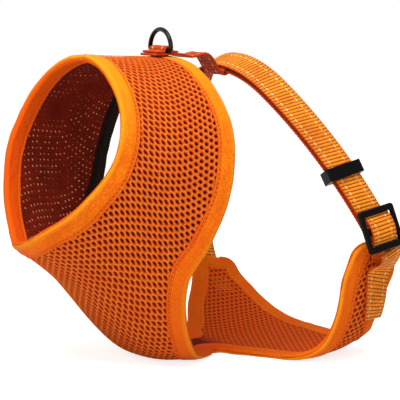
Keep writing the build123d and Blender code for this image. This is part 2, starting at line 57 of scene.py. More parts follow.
ORIGIN = np.array([3.32, 155.17, 0.0])
HALF_WIDTH = [(20, 50), (70, 63), (120, 75), (170, 86), (220, 95), (280, 98)]
BELLY_HEIGHT = [(20, 95), (70, 57), (120, 5.0), (170, 1.8), (220, -0.5), (280, 3.2)]
BACK_HEIGHT = [(20, 216), (70, 212.5), (120, 210), (170, 209.6), (220, 211), (280, 213)]
LEFT_SQUARENESS = [(20, 2.2), (70, 2.2), (120, 2.6), (170, 4.2), (220, 7.5), (280, 3.0)]
RIGHT_SQUARENESS = 2.2
BACK_SQUARENESS = 2.0
AXIS_HEIGHT = 155.0
AXIS_FALL = 0.22
AXIS_START = 20.0

NECK_EDGE = [(90, 83), (60, 81), (30, 78), (0, 68), (-30, 49), (-60, 31), (-90, 31),
             (-120, 45), (-150, 51), (-180, 57), (-210, 68), (-240, 77), (-270, 83)]
ARMHOLE_EDGE = [(90, 152), (70, 156), (50, 156), (30, 156), (10, 152), (-10, 146),
                (-30, 134), (-45, 123), (-58, 127), (-68, 144), (-76, 171)]
BELLY_FRONT_EDGE = [(-76, 186), (-68, 198), (-58, 209), (-48, 221), (-38, 229), (-28, 233),
                    (-20, 239), (-12, 246)]
BELLY_REAR_EDGE = [(-90, 282), (-70, 280), (-50, 275), (-40, 269), (-30, 273), (-22, 279),
                   (-12, 279)]
CHEST = -90.0
TOP = 90.0
TOP_START = TOP - 0.2       # where each edge's tape starts, beside the top's middle
LEFT_WING_END = -12.0
RIGHT_WING_END = -34.0
FOOT_ANGLE = -76.0
FOOT_Y = 178.5
FOOT_RADIUS = 7.5

LINING_AT = 2.5
LINING_END = 3.8
TAPE_WIDTH = 12.5
FLOOR_GAP, WEBBING_GAP = 0.05, 0.02     # of cloth, and of webbing and thread, off the floor

STRAP_ORIGIN = np.array([0.0, 202.3, 204.6])
STRAP_TILT = math.radians(24.4)
STRAP_ACROSS = np.array([0.0, math.cos(STRAP_TILT), math.sin(STRAP_TILT)])
STRAP_DOWN = np.array([0.0, math.sin(STRAP_TILT), -math.cos(STRAP_TILT)])
TOP_RADIUS = 63.0
TOP_TURN = 43.4
SIDE_RADIUS = 238.0
WEBBING_WIDTH = 20.0
WEBBING_THICK = 1.5
LAYER_RISE = 2.15          # middle of a strap layer from the strap's line
SEAT = 0.9                  # clearance of webbing over the mesh
RING_LEVEL = 210.54         # underside of the spine webbing below the ring
SPINE_LINE = [(136.0, 211.30), (156.0, 211.30), (167.0, 209.30), (180.0, 210.80),
              (190.5, 197.73)]


def hermite(t, a, slope_a, b, slope_b):
    """A smooth way from a to b, as t goes from 0 to 1, with its slopes at both."""
    return ((a * (2 * t**3 - 3 * t**2 + 1) + slope_a * (t**3 - 2 * t**2 + t))
            + (b * (3 * t**2 - 2 * t**3) + slope_b * (t**3 - t**2)))


def smooth(table, at):
    """Values at places on a smooth line through a table's points, straight beyond its ends."""
    places, values = np.array(sorted(table), float).T
    last = len(places) - 1
    low, high = np.maximum(np.arange(last + 1) - 1, 0), np.minimum(np.arange(last + 1) + 1, last)
    slopes = (values[high] - values[low]) / (places[high] - places[low])
    at = np.asarray(at, float)
    i = np.clip(np.searchsorted(places, at, side="right") - 1, 0, last - 1)
    span = places[i + 1] - places[i]
    t = np.clip((at - places[i]) / span, 0, 1)
    value = hermite(t, values[i], slopes[i] * span, values[i + 1], slopes[i + 1] * span)
    before, after = np.minimum(at - places[0], 0), np.maximum(at - places[last], 0)
    return value + before * slopes[0] + after * slopes[last]


def axis_height(y):
    return AXIS_HEIGHT - AXIS_FALL * (y - AXIS_START)


def reach(y, angle):
    """How far the outer face of the cloth lies from the body's axis."""
    c, s = np.cos(np.radians(angle)), np.sin(np.radians(angle))
    height = np.where(s > 0, smooth(BACK_HEIGHT, y) - axis_height(y),
                      axis_height(y) - smooth(BELLY_HEIGHT, y))
    square = np.where(s > 0, BACK_SQUARENESS,
                      np.where(c > 0, smooth(LEFT_SQUARENESS, y), RIGHT_SQUARENESS))
    across = np.abs(c / smooth(HALF_WIDTH, y)) ** square
    return (across + np.abs(s / height) ** square) ** (-1 / square)


def unit(vectors):
    return vectors / np.linalg.norm(vectors, axis=-1, keepdims=True)


def skin_and_out(y, angle, depth=0.0):
    """Points at a depth under the cloth's outer face, and the directions that face outwards."""
    y, angle, depth = np.broadcast_arrays(*(np.asarray(v, float) for v in (y, angle, depth)))
    c, s = np.cos(np.radians(angle)), np.sin(np.radians(angle))

    def on(v):
        r = reach(v, angle)
        return np.stack([r * c, v, axis_height(v) + r * s], -1)

    along = unit(on(y + 1.0) - on(y - 1.0))
    out = np.stack([c, np.zeros_like(c), s], -1)
    out = unit(out - along * np.sum(along * out, -1, keepdims=True))
    return on(y) - out * depth[..., None], out


def skin(y, angle, depth=0.0):
    return skin_and_out(y, angle, depth)[0]


def to_frame(points, lowest=None):
    """Points of the datum moved to the frame, in metres, and kept above the floor."""
    moved = (np.asarray(points, float) - ORIGIN) * MM
    if lowest is not None:
        moved[..., 2] = np.maximum(moved[..., 2], lowest * MM)
    return moved


def over_side(side, angle):
    """An angle of the left side, or the same place on the right side."""
    return angle if side > 0 else 2 * CHEST - angle


def mirrored(angle):
    return np.where(angle > CHEST, angle, 2 * CHEST - angle)


def neck_edge(angle):
    return smooth(NECK_EDGE, angle)


def armhole_edge(angle):
    return smooth(ARMHOLE_EDGE, mirrored(angle))


def belly_front_edge(angle):
    return smooth(BELLY_FRONT_EDGE, mirrored(angle))


def belly_rear_edge(angle):
    return smooth(BELLY_REAR_EDGE, mirrored(angle))


def wing_end(side):
    return LEFT_WING_END if side > 0 else RIGHT_WING_END


def tape_span(edge, angle):
    """Length along the body that tape covers at an angle, more where its edge runs aslant."""
    rise = edge(angle + 0.5) - edge(angle - 0.5)
    return TAPE_WIDTH * np.hypot(1, rise / (np.radians(1.0) * reach(edge(angle), angle)))


def foot(radius, turn):
    """Angle and length along the body of points round the armhole's foot."""
    turn = np.radians(turn)
    drop = radius * np.sin(turn) / reach(FOOT_Y, FOOT_ANGLE)
    return FOOT_ANGLE - np.degrees(drop), FOOT_Y - radius * np.cos(turn)


def strap_point(turn, rise=0.0):
    """Points and outward directions of the girth strap's line, by turn from the back's middle."""
    turn, rise = np.broadcast_arrays(np.asarray(turn, float), np.asarray(rise, float))
    s, c = np.sin(np.radians(turn)), np.cos(np.radians(turn))
    over = np.abs(turn) > TOP_TURN
    shift = SIDE_RADIUS - TOP_RADIUS
    bend = math.radians(TOP_TURN)
    r = np.where(over, SIDE_RADIUS, TOP_RADIUS) + rise
    x = np.where(over, -np.sign(turn) * shift * math.sin(bend), 0.0) + r * s
    down = TOP_RADIUS + np.where(over, shift * math.cos(bend), 0.0) - r * c
    points = STRAP_ORIGIN + x[..., None] * np.array([1.0, 0, 0]) + down[..., None] * STRAP_DOWN
    out = s[..., None] * np.array([1.0, 0, 0]) - c[..., None] * STRAP_DOWN
    return points, out


def strap_turn(length):
    """The turn at a length along the strap from the back's middle, negative to the right."""
    top = math.radians(TOP_TURN) * TOP_RADIUS
    size = np.abs(length)
    turn = np.where(size < top, np.degrees(size / TOP_RADIUS),
                    TOP_TURN + np.degrees((size - top) / SIDE_RADIUS))
    return np.sign(length) * turn


TOP_RUN = math.radians(TOP_TURN) * TOP_RADIUS
SLIDER_RUN = TOP_RUN + 124.2
OUTER_LEFT = TOP_RUN + 141.0
INNER_LEFT = SLIDER_RUN - 4.6
PLUG_RUN = TOP_RUN + 67.4
SOCKET_RUN = TOP_RUN + 117.3


# --- Making meshes ---

def ripple(seed, scale, *places):
    """Smooth seeded unevenness between about -1 and 1, over places in millimetres."""
    rng = np.random.default_rng(seed)
    waves, total = 9, 0.0
    for _ in range(waves):
        phase = rng.uniform(0, 2 * math.pi)
        lean = rng.normal(size=len(places))
        lean *= rng.uniform(0.5, 1.6) * 2 * math.pi / scale / np.linalg.norm(lean)
        total = total + np.sin(sum(k * p for k, p in zip(lean, places)) + phase)
    return total / 4.0


def run_lengths(line):
    """Length along a line at each of its points."""
    gaps = np.linalg.norm(np.diff(line, axis=0), axis=-1)
    return np.concatenate([[0.0], np.cumsum(gaps)])


def read_line(at, lengths, values):
    """Values of a line's points read at lengths along it."""
    return np.stack([np.interp(at, lengths, column) for column in values.T], -1)


def add_piece(name, points, faces, corner_uv=None, body="harness", marks=None):
    """A smooth shaded mesh object that rides on a body."""
    mesh = bpy.data.meshes.new(name)
    mesh.from_pydata(np.asarray(points).reshape(-1, 3).tolist(), [], faces)
    mesh.polygons.foreach_set("use_smooth", np.ones(len(mesh.polygons), bool))
    if corner_uv is not None:
        layer = mesh.uv_layers.new(name="cloth_metres")
        layer.data.foreach_set("uv", np.asarray(corner_uv, np.float32).ravel())
    for key, values in (marks or {}).items():
        mark = mesh.attributes.new(key, "FLOAT", "POINT")
        mark.data.foreach_set("value", np.asarray(values, np.float32).ravel())
    mesh.update()
    piece = bpy.data.objects.new(name, mesh)
    bpy.context.scene.collection.objects.link(piece)
    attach(piece, body)
    return piece


def grid_faces(rows, columns, closed_rows=False, closed_columns=False, flip=False):
    """Faces of a grid and, for each corner, its unwrapped row and column."""
    i, j = np.meshgrid(np.arange(rows - (not closed_rows)),
                       np.arange(columns - (not closed_columns)), indexing="ij")
    order = [(0, 0), (1, 0), (1, 1), (0, 1)] if flip else [(0, 0), (0, 1), (1, 1), (1, 0)]
    row = np.stack([i.ravel() + di for di, dj in order], -1)
    column = np.stack([j.ravel() + dj for di, dj in order], -1)
    return (row % rows) * columns + column % columns, row, column


def add_grid(name, points, along, across, closed_rows=False, caps=False, **more):
    """A tube of points as a mesh; along and across give its cloth coordinates in metres."""
    rows, columns = points.shape[:2]
    faces, row, column = grid_faces(rows, columns, closed_rows, closed_columns=True)
    along = np.append(along, 2 * along[-1] - along[-2]) * MM
    across = np.append(across, across[0]) * MM
    uv = np.stack([along[row], across[column]], -1)
    faces, uv = faces.tolist(), uv.reshape(-1, 2).tolist()
    if caps:
        ends = list(range(columns))[::-1], list(range((rows - 1) * columns, rows * columns))
        for end in ends:
            faces.append(end)
            uv += [[along[end[0] // columns], across[v % columns]] for v in end]
    return add_piece(name, points, faces, uv, **more)


def finish_piece(context, piece, key, *nodes):
    """Gives a piece its material, and hides the frame's nodes that it stands for."""
    piece.data.materials.clear()
    piece.data.materials.append(material_of(context, key))
    if nodes:
        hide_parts(*nodes)


def join_meshes(parts):
    """Points and faces of several small meshes as one."""
    points, faces, start = [], [], 0
    for some_points, some_faces in parts:
        points.append(some_points)
        faces += [[v + start for v in face] for face in some_faces]
        start += len(some_points)
    return np.concatenate(points), faces


# --- Air mesh ---
# The cloth is cut flat. Its rows of holes run along the body, and the chest is laid as a cone.

CONE_START = 172.0
CONE_RATE = 1.055
CONE_FROM = 31.0
CONE_END = 178.5
STRAIGHT_FROM = 215.0
RING_STEP = 2.0
RING_FIRST, RING_LAST = 10.0, 300.0
ANGLE_FIRST, ANGLE_LAST = -300.0, 120.0
CLOTH_HALF = 330.0          # of cloth from the chest's middle that the table covers
CLOTH_MIDDLE = 1.9
CLOTH_TUCK = 3.0            # of the cloth under the bindings
WING_TUCK = 5.0             # degrees from a wing's end at which its cloth stops
HOLE_COLUMNS = (60.0, 480.0)
HOLE_ROWS = 75
LINING_OPEN = (0.004, 0.03)

# Each ring's share of a hole's length and width, and its depth, from a hole's border inwards.
OUTER_RINGS = [(0, 0, 0.05), (1.0, 1.0, 0.35), (0.66, 0.66, 1.3)]
LINING_RINGS = [(0, 0, LINING_END - 0.05), (0.8, 0.85, LINING_END - 0.3),
                (0.46, 0.5, LINING_AT + 0.3)]


def ring_table():
    """For each ring of the body, the angle at each length of cloth from the chest's middle."""
    rings = np.arange(RING_FIRST, RING_LAST, RING_STEP)
    angles = np.arange(ANGLE_FIRST, ANGLE_LAST + 1.0, 1.0)
    points = skin(rings[:, None], angles[None, :], CLOTH_MIDDLE)
    lengths = np.linalg.norm(np.diff(points, axis=1), axis=-1)
    lengths = np.concatenate([np.zeros((len(rings), 1)), np.cumsum(lengths, 1)], 1)
    lengths -= lengths[:, [int(CHEST - ANGLE_FIRST)]]
    places = np.arange(-CLOTH_HALF, CLOTH_HALF + 1.0, 1.0)
    return np.stack([np.interp(places, row, angles) for row in lengths])


def angle_on_ring(table, y, length):
    row = np.clip((y - RING_FIRST) / RING_STEP, 0, table.shape[0] - 1.001)
    column = np.clip(length + CLOTH_HALF, 0, table.shape[1] - 1.001)
    i, j = row.astype(int), column.astype(int)
    u, v = row - i, column - j
    low = table[i, j] * (1 - v) + table[i, j + 1] * v
    high = table[i + 1, j] * (1 - v) + table[i + 1, j + 1] * v
    return low * (1 - u) + high * u


def cloth_place(table, along, across):
    """Length along the body and angle at places of the flat cloth."""
    cone = np.ones_like(along)
    turn = np.arctan2(across, along)
    for _ in range(12):
        for _ in range(3):
            top = cone * np.sin(turn) + (1 - cone) * turn
            low = cone * np.cos(turn) + 1 - cone
            slope = (low * low + top * cone * np.sin(turn)) / low**2
            turn = turn + (across / along - top / low) / slope
        radius = along / (cone * np.cos(turn) + 1 - cone)
        y = CONE_FROM + (radius - CONE_START) / CONE_RATE
        t = np.clip((y - CONE_END) / (STRAIGHT_FROM - CONE_END), 0, 1)
        cone = 0.5 * cone + 0.5 * (1 - t * t * (3 - 2 * t))
    return y, angle_on_ring(table, y, turn * radius)


def in_body_cloth(y, angle):
    """Whether places are cloth, counting its tuck under the bindings."""
    share = 1 - CLOTH_TUCK / TAPE_WIDTH
    a = mirrored(angle)
    after_neck = y > neck_edge(angle) + share * tape_span(neck_edge, angle)
    chest = after_neck & (y < armhole_edge(a) - share * tape_span(armhole_edge, a))
    chest &= (a > FOOT_ANGLE) & (a < TOP_START)
    belly = (y > belly_front_edge(a) + share * tape_span(belly_front_edge, a))
    rear = y < belly_rear_edge(a) - share * tape_span(belly_rear_edge, a)
    end = np.where(angle > CHEST, LEFT_WING_END, RIGHT_WING_END)
    belly &= rear & (a > FOOT_ANGLE) & (a < end - WING_TUCK)
    around = np.radians(FOOT_ANGLE - a) * reach(FOOT_Y, FOOT_ANGLE)
    clear = np.hypot(around, y - FOOT_Y) > FOOT_RADIUS + TAPE_WIDTH - CLOTH_TUCK
    between = after_neck & rear & (a <= FOOT_ANGLE) & clear
    return chest | belly | between


def net_cells(table, pitch, rows_apart):
    """Middles of the mesh's holes on the flat cloth, those that lie in the panel."""
    rows = np.arange(-HOLE_ROWS, HOLE_ROWS + 1)
    along, across = np.meshgrid(np.arange(*HOLE_COLUMNS, pitch), rows * rows_apart, indexing="ij")
    along = along + np.where(rows % 2 == 0, 0.0, pitch / 2)[None, :]
    along, across = along.ravel(), across.ravel()
    y, angle = cloth_place(table, along, across)
    keep = (angle < TOP) & (angle > over_side(-1, TOP)) & in_body_cloth(y, angle)
    return np.stack([along[keep], across[keep]], -1)


def net_layer(name, table, cells, knit, rings, inward):
    """A layer of net: round each hole, rings of cloth from its border to its wall.

    knit holds the pitch, the rows' distance and a hole's half length and half width. The first
    ring is the border that neighbouring holes share.
    """
    pitch, rows_apart, long, wide = knit
    middle = (pitch**2 / 4 + rows_apart**2) / 2
    tip, side = middle / rows_apart, (middle - pitch**2 / 4) / rows_apart
    corners = np.array([(pitch / 2, side), (0, tip), (-pitch / 2, side),
                        (-pitch / 2, -side), (0, -tip), (pitch / 2, -side)])
    border = np.stack([corners, (corners + np.roll(corners, -1, 0)) / 2], 1).reshape(-1, 2)
    turn = np.arctan2(border[:, 1], border[:, 0])
    shapes = np.array([border] + [
        np.stack([a * long * np.cos(turn), b * wide * np.sin(turn)], -1) for a, b, _ in rings[1:]])
    places = cells[:, None, None] + shapes
    if inward:
        open_share = np.random.default_rng(3).uniform(*LINING_OPEN, len(cells))
        places[:, -1] = cells[:, None] + shapes[-1] * open_share[:, None, None]
    count, levels, sides = places.shape[:3]
    flat = places.reshape(-1, 2)
    level = np.broadcast_to(np.arange(levels)[:, None], (count, levels, sides)).reshape(-1)
    keys = np.concatenate([np.round(flat, 2), level[:, None]], 1)
    _, first, index = np.unique(keys, axis=0, return_index=True, return_inverse=True)
    index = index.reshape(count, levels, sides)
    turned = np.roll(index, -1, 2)
    corners = [index[:, :-1], index[:, 1:], turned[:, 1:], turned[:, :-1]]
    if not inward:
        corners = corners[:1] + corners[:0:-1]
    faces = np.stack(corners, -1).reshape(-1, 4)
    flat, level = flat[first], level[first]
    y, angle = cloth_place(table, flat[:, 0], flat[:, 1])
    depth = np.array([ring[2] for ring in rings])[level]
    depth = depth + 0.12 * ripple(5, 30.0, flat[:, 0], flat[:, 1])
    points = to_frame(skin(y, angle, depth), LINING_AT if inward else FLOOR_GAP)
    piece = add_piece(name, points, faces.tolist(), flat[faces.reshape(-1)] * MM,
                      marks={"hole": np.linspace(0, 1, levels)[level]})
    return piece


# --- Folded tape ---

STITCH_IN = 1.8             # of the stitching from the tape's sewn edge
STITCH_LIFT = 0.32          # of the stitching off the tape
TAPE_STEP = 1.1             # length of the tape's mesh steps
INNER_FACE = 20.0           # across, where the inner face starts in cloth coordinates
SHADE_SINK = 1.2           # of the inner stitches where the armholes' painted shade hides them
SHADE_FADE = 8             # degrees over which the armholes' painted shade starts and ends
PUCKER, PUCKER_REACH = 0.10, 1.9
SWELL, SWELL_LENGTH = 0.20, 16.0
TAPE_HALF = [(12.45, 0.3), (12.58, 0.0), (12.45, -0.3), (12.1, -0.50), (11.6, -0.52),
             (11.1, -0.30), (10.7, -0.06), (10.3, -0.28), (9.7, -0.54), (8.8, -0.68),
             (7.2, -0.74), (5.6, -0.72), (4.0, -0.64), (3.0, -0.66), (2.3, -0.74),
             (1.6, -0.62), (0.9, -0.1), (0.3, 0.8)]
TAPE_HOLLOW = [(11.0, 0.35), (2.0, 0.5)]


def tape_profile():
    """Closed outline of tape folded over the cloth's edge: distance in, and depth."""
    inner = [(across, LINING_END - depth) for across, depth in reversed(TAPE_HALF)]
    hollow = [(across, LINING_END - depth) for across, depth in TAPE_HOLLOW]
    return np.array(TAPE_HALF + [(0.05, LINING_END / 2)] + inner + hollow + TAPE_HOLLOW[::-1])


def folded_tape(name, free, sewn, seed, stitches, shaded_span=None):
    """Tape folded over an edge, with puckers along its stitching, and its stitches.

    free and sewn hold angles and lengths along the body, at the fold and at the sewn edge. The
    last argument gives the angles between which the tape's inner side is painted near black as
    shade.
    """
    lengths = run_lengths(skin((free[1] + sewn[1]) / 2, (free[0] + sewn[0]) / 2))
    at = np.linspace(0, lengths[-1], max(2, int(round(lengths[-1] / TAPE_STEP))) + 1)
    free, sewn = (np.stack([np.interp(at, lengths, row) for row in edge])
                  for edge in (free, sewn))
    inwards, sunk = tape_profile().T

    def across_tape(share):
        return free[..., None] * (1 - share) + sewn[..., None] * share

    angle, y = across_tape(inwards / TAPE_WIDTH)
    away = np.where(sunk < LINING_END / 2, -1.0, 1.0)
    near_stitch = np.exp(-((inwards - TAPE_WIDTH + STITCH_IN) / PUCKER_REACH) ** 2)
    pucker = PUCKER * np.cos(2 * math.pi * at[:, None] / stitches)
    wave = ripple(seed, SWELL_LENGTH, at[:, None] + 0 * angle, 3 * inwards + 0 * angle)
    swell = SWELL * wave * np.clip(1 - near_stitch, 0, 1)
    # Share of the inner side painted near black as shade, faded in and out at its ends.
    shown = 0 * at
    if shaded_span is not None:
        first, last = shaded_span
        shown = np.interp(mirrored(free[0]), [first, first + SHADE_FADE, last - SHADE_FADE, last],
                          [0, 1, 1, 0])
        shown *= np.interp(free[1], [FOOT_Y - 12, FOOT_Y - 8], [1, 0])
    points = skin(y, angle, sunk + away * (near_stitch * pucker + swell))
    tape = add_grid(name, to_frame(points, FLOOR_GAP), at,
                    inwards + np.where(sunk < LINING_END / 2, 0, INNER_FACE), caps=True,
                    marks={"facing": shown[:, None] * (sunk > LINING_END / 2)})
    angle, y = across_tape(np.array([1 - STITCH_IN / TAPE_WIDTH]))[..., 0]
    rows = []
    # The inner stitches sink where the painted shade covers them.
    for level, side in ((-STITCH_LIFT, 1), (LINING_END + STITCH_LIFT - SHADE_SINK * shown, -1)):
        line, out = skin_and_out(y, angle, level)
        rows.append(stitch_row(line, out * side, stitches))
    return tape, rows


# Place along a stitch, share of its radius and lift of each ring of its bead.
BEAD = np.array([(-0.5, 0.25, -0.30), (-0.36, 0.8, 0.0), (0.0, 1.0, 0.12), (0.36, 0.8, 0.0),
                 (0.5, 0.25, -0.30)])
BEAD_SIDES = 6


def stitch_row(line, out, pitch, length=0.72, radius=0.27):
    """A row of stitches along a line, each a short bead of thread that dips at its ends."""
    lengths = run_lengths(line)
    count = int(lengths[-1] / pitch)
    middles = (np.arange(count) + 0.5) * lengths[-1] / max(count, 1)
    at = middles[:, None] + BEAD[:, 0] * pitch * length
    middle, up = read_line(at, lengths, line), unit(read_line(at, lengths, out))
    side = unit(np.cross(up, unit(np.gradient(middle, axis=1))))
    middle = middle + up * BEAD[:, 2, None] * radius * 2
    turns = (np.arange(BEAD_SIDES) * 2 * math.pi / BEAD_SIDES)[:, None]
    ring = np.cos(turns) * side[:, :, None] + np.sin(turns) * up[:, :, None]
    points = middle[:, :, None] + ring * BEAD[:, 1, None, None] * radius
    size = len(BEAD) * BEAD_SIDES
    bead = grid_faces(len(BEAD), BEAD_SIDES, closed_columns=True)[0].tolist()
    bead += [list(range(BEAD_SIDES))[::-1], list(range(size - BEAD_SIDES, size))]
    faces = [[size * k + v for v in face] for k in range(count) for face in bead]
    return points.reshape(-1, 3), faces


def add_stitching(context, name, rows, *nodes):
    points, faces = join_meshes(rows)
    finish_piece(context, add_piece(name, to_frame(points, WEBBING_GAP), faces),
                 "sewing_thread", *nodes)


# --- Webbing ---

# Distance in from webbing's edge and share of its half thickness, from the edge to the middle.
WEBBING_EDGE = [(0.0, 0.0), (0.10, 0.45), (0.35, 0.78), (0.8, 0.95), (1.6, 1.0), (3.0, 1.0),
                (5.0, 1.0), (7.5, 1.0)]
FOLD_EDGE = [(0.0, 0.0), (0.1, 0.5), (0.4, 0.85), (1.0, 1.0)]
RIB_RISE = 0.13             # of a rib, as a share of half the thickness
RIB_SPREAD = 0.018          # of a rib at the edge, as a share of half the width
RIB_STEPS = 8               # of the mesh to a rib
RIB_FADE = 1.5              # from the edge, over which a rib rises


def add_webbing(context, name, node, key, line, across, out, rib_pitch=None, start=0.0,
                width=WEBBING_WIDTH, thick=WEBBING_THICK, steps=RIB_STEPS, body="harness",
                skew=None):
    """Ribbed webbing along a line of points, each with its across and outward direction.

    skew says how far the ribs run ahead along the webbing for each millimetre across it.
    """
    rib_pitch = rib_pitch or context.scene.harness_sizes.rib_pitch / MM
    lengths = run_lengths(line)
    at = np.linspace(0, lengths[-1], max(3, int(round(lengths[-1] / rib_pitch * steps))) + 1)
    half, deep = width / 2, thick / 2
    side = [(half - i, deep * share) for i, share in WEBBING_EDGE] + [(0.0, deep)]
    top = side + [(-a, b) for a, b in side[-2::-1]]
    wide, up = np.array(top + [(-a, -b) for a, b in top[1:-1]]).T
    place = at[:, None] + 0 * wide
    if skew is not None:
        place = np.clip(place + np.interp(at, lengths, skew)[:, None] * wide, 0, lengths[-1])
    line = read_line(place, lengths, line)
    across, out = (unit(read_line(place, lengths, values)) for values in (across, out))
    rib = np.cos(2 * math.pi * (at + start) / rib_pitch)[:, None]
    flat = np.clip(np.abs(up) / deep, 0, 1)
    off_edge = np.clip((half - np.abs(wide)) / RIB_FADE, 0, 1)
    points = line + out * (up * (1 + RIB_RISE * rib * off_edge))[..., None]
    points += across * (wide * (1 + RIB_SPREAD * rib * (1 - 0.6 * flat)))[..., None]
    piece = add_grid(name, to_frame(points, WEBBING_GAP), at + start, wide, caps=True, body=body)
    finish_piece(context, piece, key, node)


def add_wrapped_webbing(context, name, node, key, loop):
    """Webbing folded round the girth strap's inner run; loop is its line, across and rising."""
    rib_pitch = context.scene.harness_sizes.rib_pitch / MM
    closed = np.vstack([loop, loop[:1]])
    lengths = run_lengths(closed)
    at = np.linspace(0, lengths[-1], int(lengths[-1] / rib_pitch * RIB_STEPS), endpoint=False)
    line = read_line(at, lengths, closed)
    ahead = unit(np.roll(line, -1, 0) - np.roll(line, 1, 0))
    half, deep = WEBBING_WIDTH / 2, WEBBING_THICK / 2
    edge = [(half - i, share) for i, share in FOLD_EDGE]
    top = edge + [(x, 1.0) for x in np.linspace(half - 3, 3 - half, 9)]
    top += [(-x, share) for x, share in edge[::-1]]
    wide, share = np.array(top + [(x, -share) for x, share in top[-2:0:-1]]).T
    rise = deep * share * (1 + RIB_RISE * np.cos(2 * math.pi * at / rib_pitch)[:, None])
    across = line[:, 0, None] + ahead[:, 1, None] * rise
    lift = line[:, 1, None] - ahead[:, 0, None] * rise - LAYER_RISE
    turn = np.degrees(wide / TOP_RADIUS) + 0 * lift
    points = strap_point(turn, lift)[0] + across[..., None] * STRAP_ACROSS
    finish_piece(context, add_grid(name, to_frame(points), at, wide, closed_rows=True), key, node)


def bent_line(points, count):
    """A smooth line through a few points."""
    points = np.asarray(points, float)
    lengths = run_lengths(points)
    at = np.linspace(0, lengths[-1], count)
    return np.stack([smooth(list(zip(lengths, column)), at) for column in points.T], -1)


# --- Materials ---

# Metres along and across the cloth at which its knit or weave repeats.
NET_KNIT = (0.00056, 0.00095)
LINING_KNIT = (0.0015, 0.0019)
TAPE_WEAVE = (0.0013, 0.0012)
WEBBING_YARN = 0.0011

# Where a look starts and where it is full: on the hole mark, on a noise, or in metres.
# On the hole mark: a painted highlight on the net's ridges, and painted shade on the walls of its
# holes.
RIDGE_MARK, RIDGE_FIBRES, HOLE_MARK = (0.30, 0.06), (0.30, 0.62), (0.34, 0.75)
# Painted specks of light on the lining, where light would shine through its holes: in patches, at
# the holes, between two heights.
LIGHT_SPECK_PATCH, LIGHT_SPECK_GRAIN, LIGHT_SPECK_MARK = (0.38, 0.52), (0.41, 0.56), (0.68, 0.82)
LIGHT_SPECK_HEIGHT = (0.055, 0.095)
# Toward the rear the lining takes the outer net's colour in place of its painted shade, partly its
# own colour and partly painted light; its holes there get painted shade, and the tape's inner
# painted shade fades out.
REAR_CLOTH, REAR_HOLE_MARK = (0.028, 0.045), (0.30, 0.62)
# Heights in metres below which the tape is painted redder as shade, and above which it is painted
# paler as a highlight.
TAPE_SLUB, TAPE_SHADE_HEIGHTS, TAPE_HIGHLIGHT_HEIGHTS = (0.46, 0.60), (0.15, 0.03), (0.15, 0.21)
# Across the tape's outer face near its fold: a painted highlight.
FOLD_HIGHLIGHT_FAR, FOLD_HIGHLIGHT_NEAR = (0.0035, 0.0005), (0.0, 0.0004)
# Painted shade in the groove of the stitching, and in a band at the sewn edge.
SEAM_AT, SEAM_SHADE_SIDE = 0.0107, (0.0012, 0.0003)
TAPE_EDGE_SHADE, TAPE_EDGE_SHADE_END, TAPE_INNER = (0.0118, 0.0125), 0.0135, (0.019, 0.0195)
RIB_GAP, SELVEDGE = (0.50, 0.05), (0.0088, 0.0096)
TRACER_AT, TRACER_HALF, DASH_HALF = 0.0057, 0.00045, 0.24
HANDLED, HANDLED_ROUGH = (0.3, 0.75), (0.75, 1.5)

# Roughness, gloss, coat and grain of the hardware.
PAINT_FINISH = (0.12, 0.14, 0.16, 0.1)
PLASTIC_FINISH = (0.20, 0.06, 0.03, 0.25)


class Nodes:
    """A node tree with short ways to add to it. A value is a number or a node's output."""

    def __init__(self, tree):
        self.tree = tree

    def join(self, socket, value):
        if isinstance(value, bpy.types.NodeSocket):
            self.tree.links.new(value, socket)
        else:
            socket.default_value = value

    def add(self, kind, inputs=None, **settings):
        """Adds a shader node and gives its outputs."""
        node = self.tree.nodes.new("ShaderNode" + kind)
        for key, value in settings.items():
            setattr(node, key, value)
        for key, value in (inputs or {}).items():
            self.join(node.inputs[key], value)
        return node.outputs

    def calc(self, operation, *values):
        return self.add("Math", dict(enumerate(values)), operation=operation)[0]

    def times(self, first, *others, operation="MULTIPLY"):
        for other in others:
            first = self.calc(operation, first, other)
        return first

    def total(self, *values):
        return self.times(*values, operation="ADD")

    def between(self, value, low, high, to_low=0.0, to_high=1.0):
        """How far a value has gone from low to high, from 0 to 1 or between other ends."""
        return self.add("MapRange", {"Value": value, "From Min": low, "From Max": high,
                                     "To Min": to_low, "To Max": to_high})[0]

    def blend(self, share, a, b, mode="MIX"):
        """A mix of two colours, by the Mix node's sockets for its factor and colours."""
        return self.add("Mix", {0: share, 6: a, 7: b}, data_type="RGBA", blend_type=mode)[2]

    def grey(self, value):
        return self.add("CombineColor", {"Red": value, "Green": value, "Blue": value})[0]

    def noise(self, scale, detail, roughness=0.5):
        return self.add("TexNoise", {"Vector": self.add("TexCoord")["Object"], "Scale": scale,
                                     "Detail": detail, "Roughness": roughness})["Fac"]

    def place(self):
        """Place on the object along x, y and z, in metres."""
        return self.add("SeparateXYZ", {0: self.add("TexCoord")["Object"]})[:3]

    def cloth_place(self):
        """Place along and across the flat cloth, in metres."""
        return self.add("SeparateXYZ", {0: self.add("UVMap", uv_map="cloth_metres")[0]})[:2]

    def mark(self, name):
        return self.add("Attribute", attribute_name=name)["Fac"]

    def lines(self, place, pitch):
        """A wave from 0 to 1 with a crest at each pitch, in metres."""
        turn = self.times(place, 2 * math.pi / pitch)
        return self.calc("MULTIPLY_ADD", self.calc("COSINE", turn), 0.5, 0.5)

    def weave(self, pitches):
        """Crests where the lines along and across the cloth meet."""
        return self.times(*(self.lines(*pair) for pair in zip(self.cloth_place(), pitches)))

    def seen(self):
        """1 where the camera looks, straight or by way of gloss or glass, and 0 for other light."""
        path = self.add("LightPath")
        return self.times(path["Is Camera Ray"], path["Is Glossy Ray"],
                          path["Is Transmission Ray"], operation="MAXIMUM")


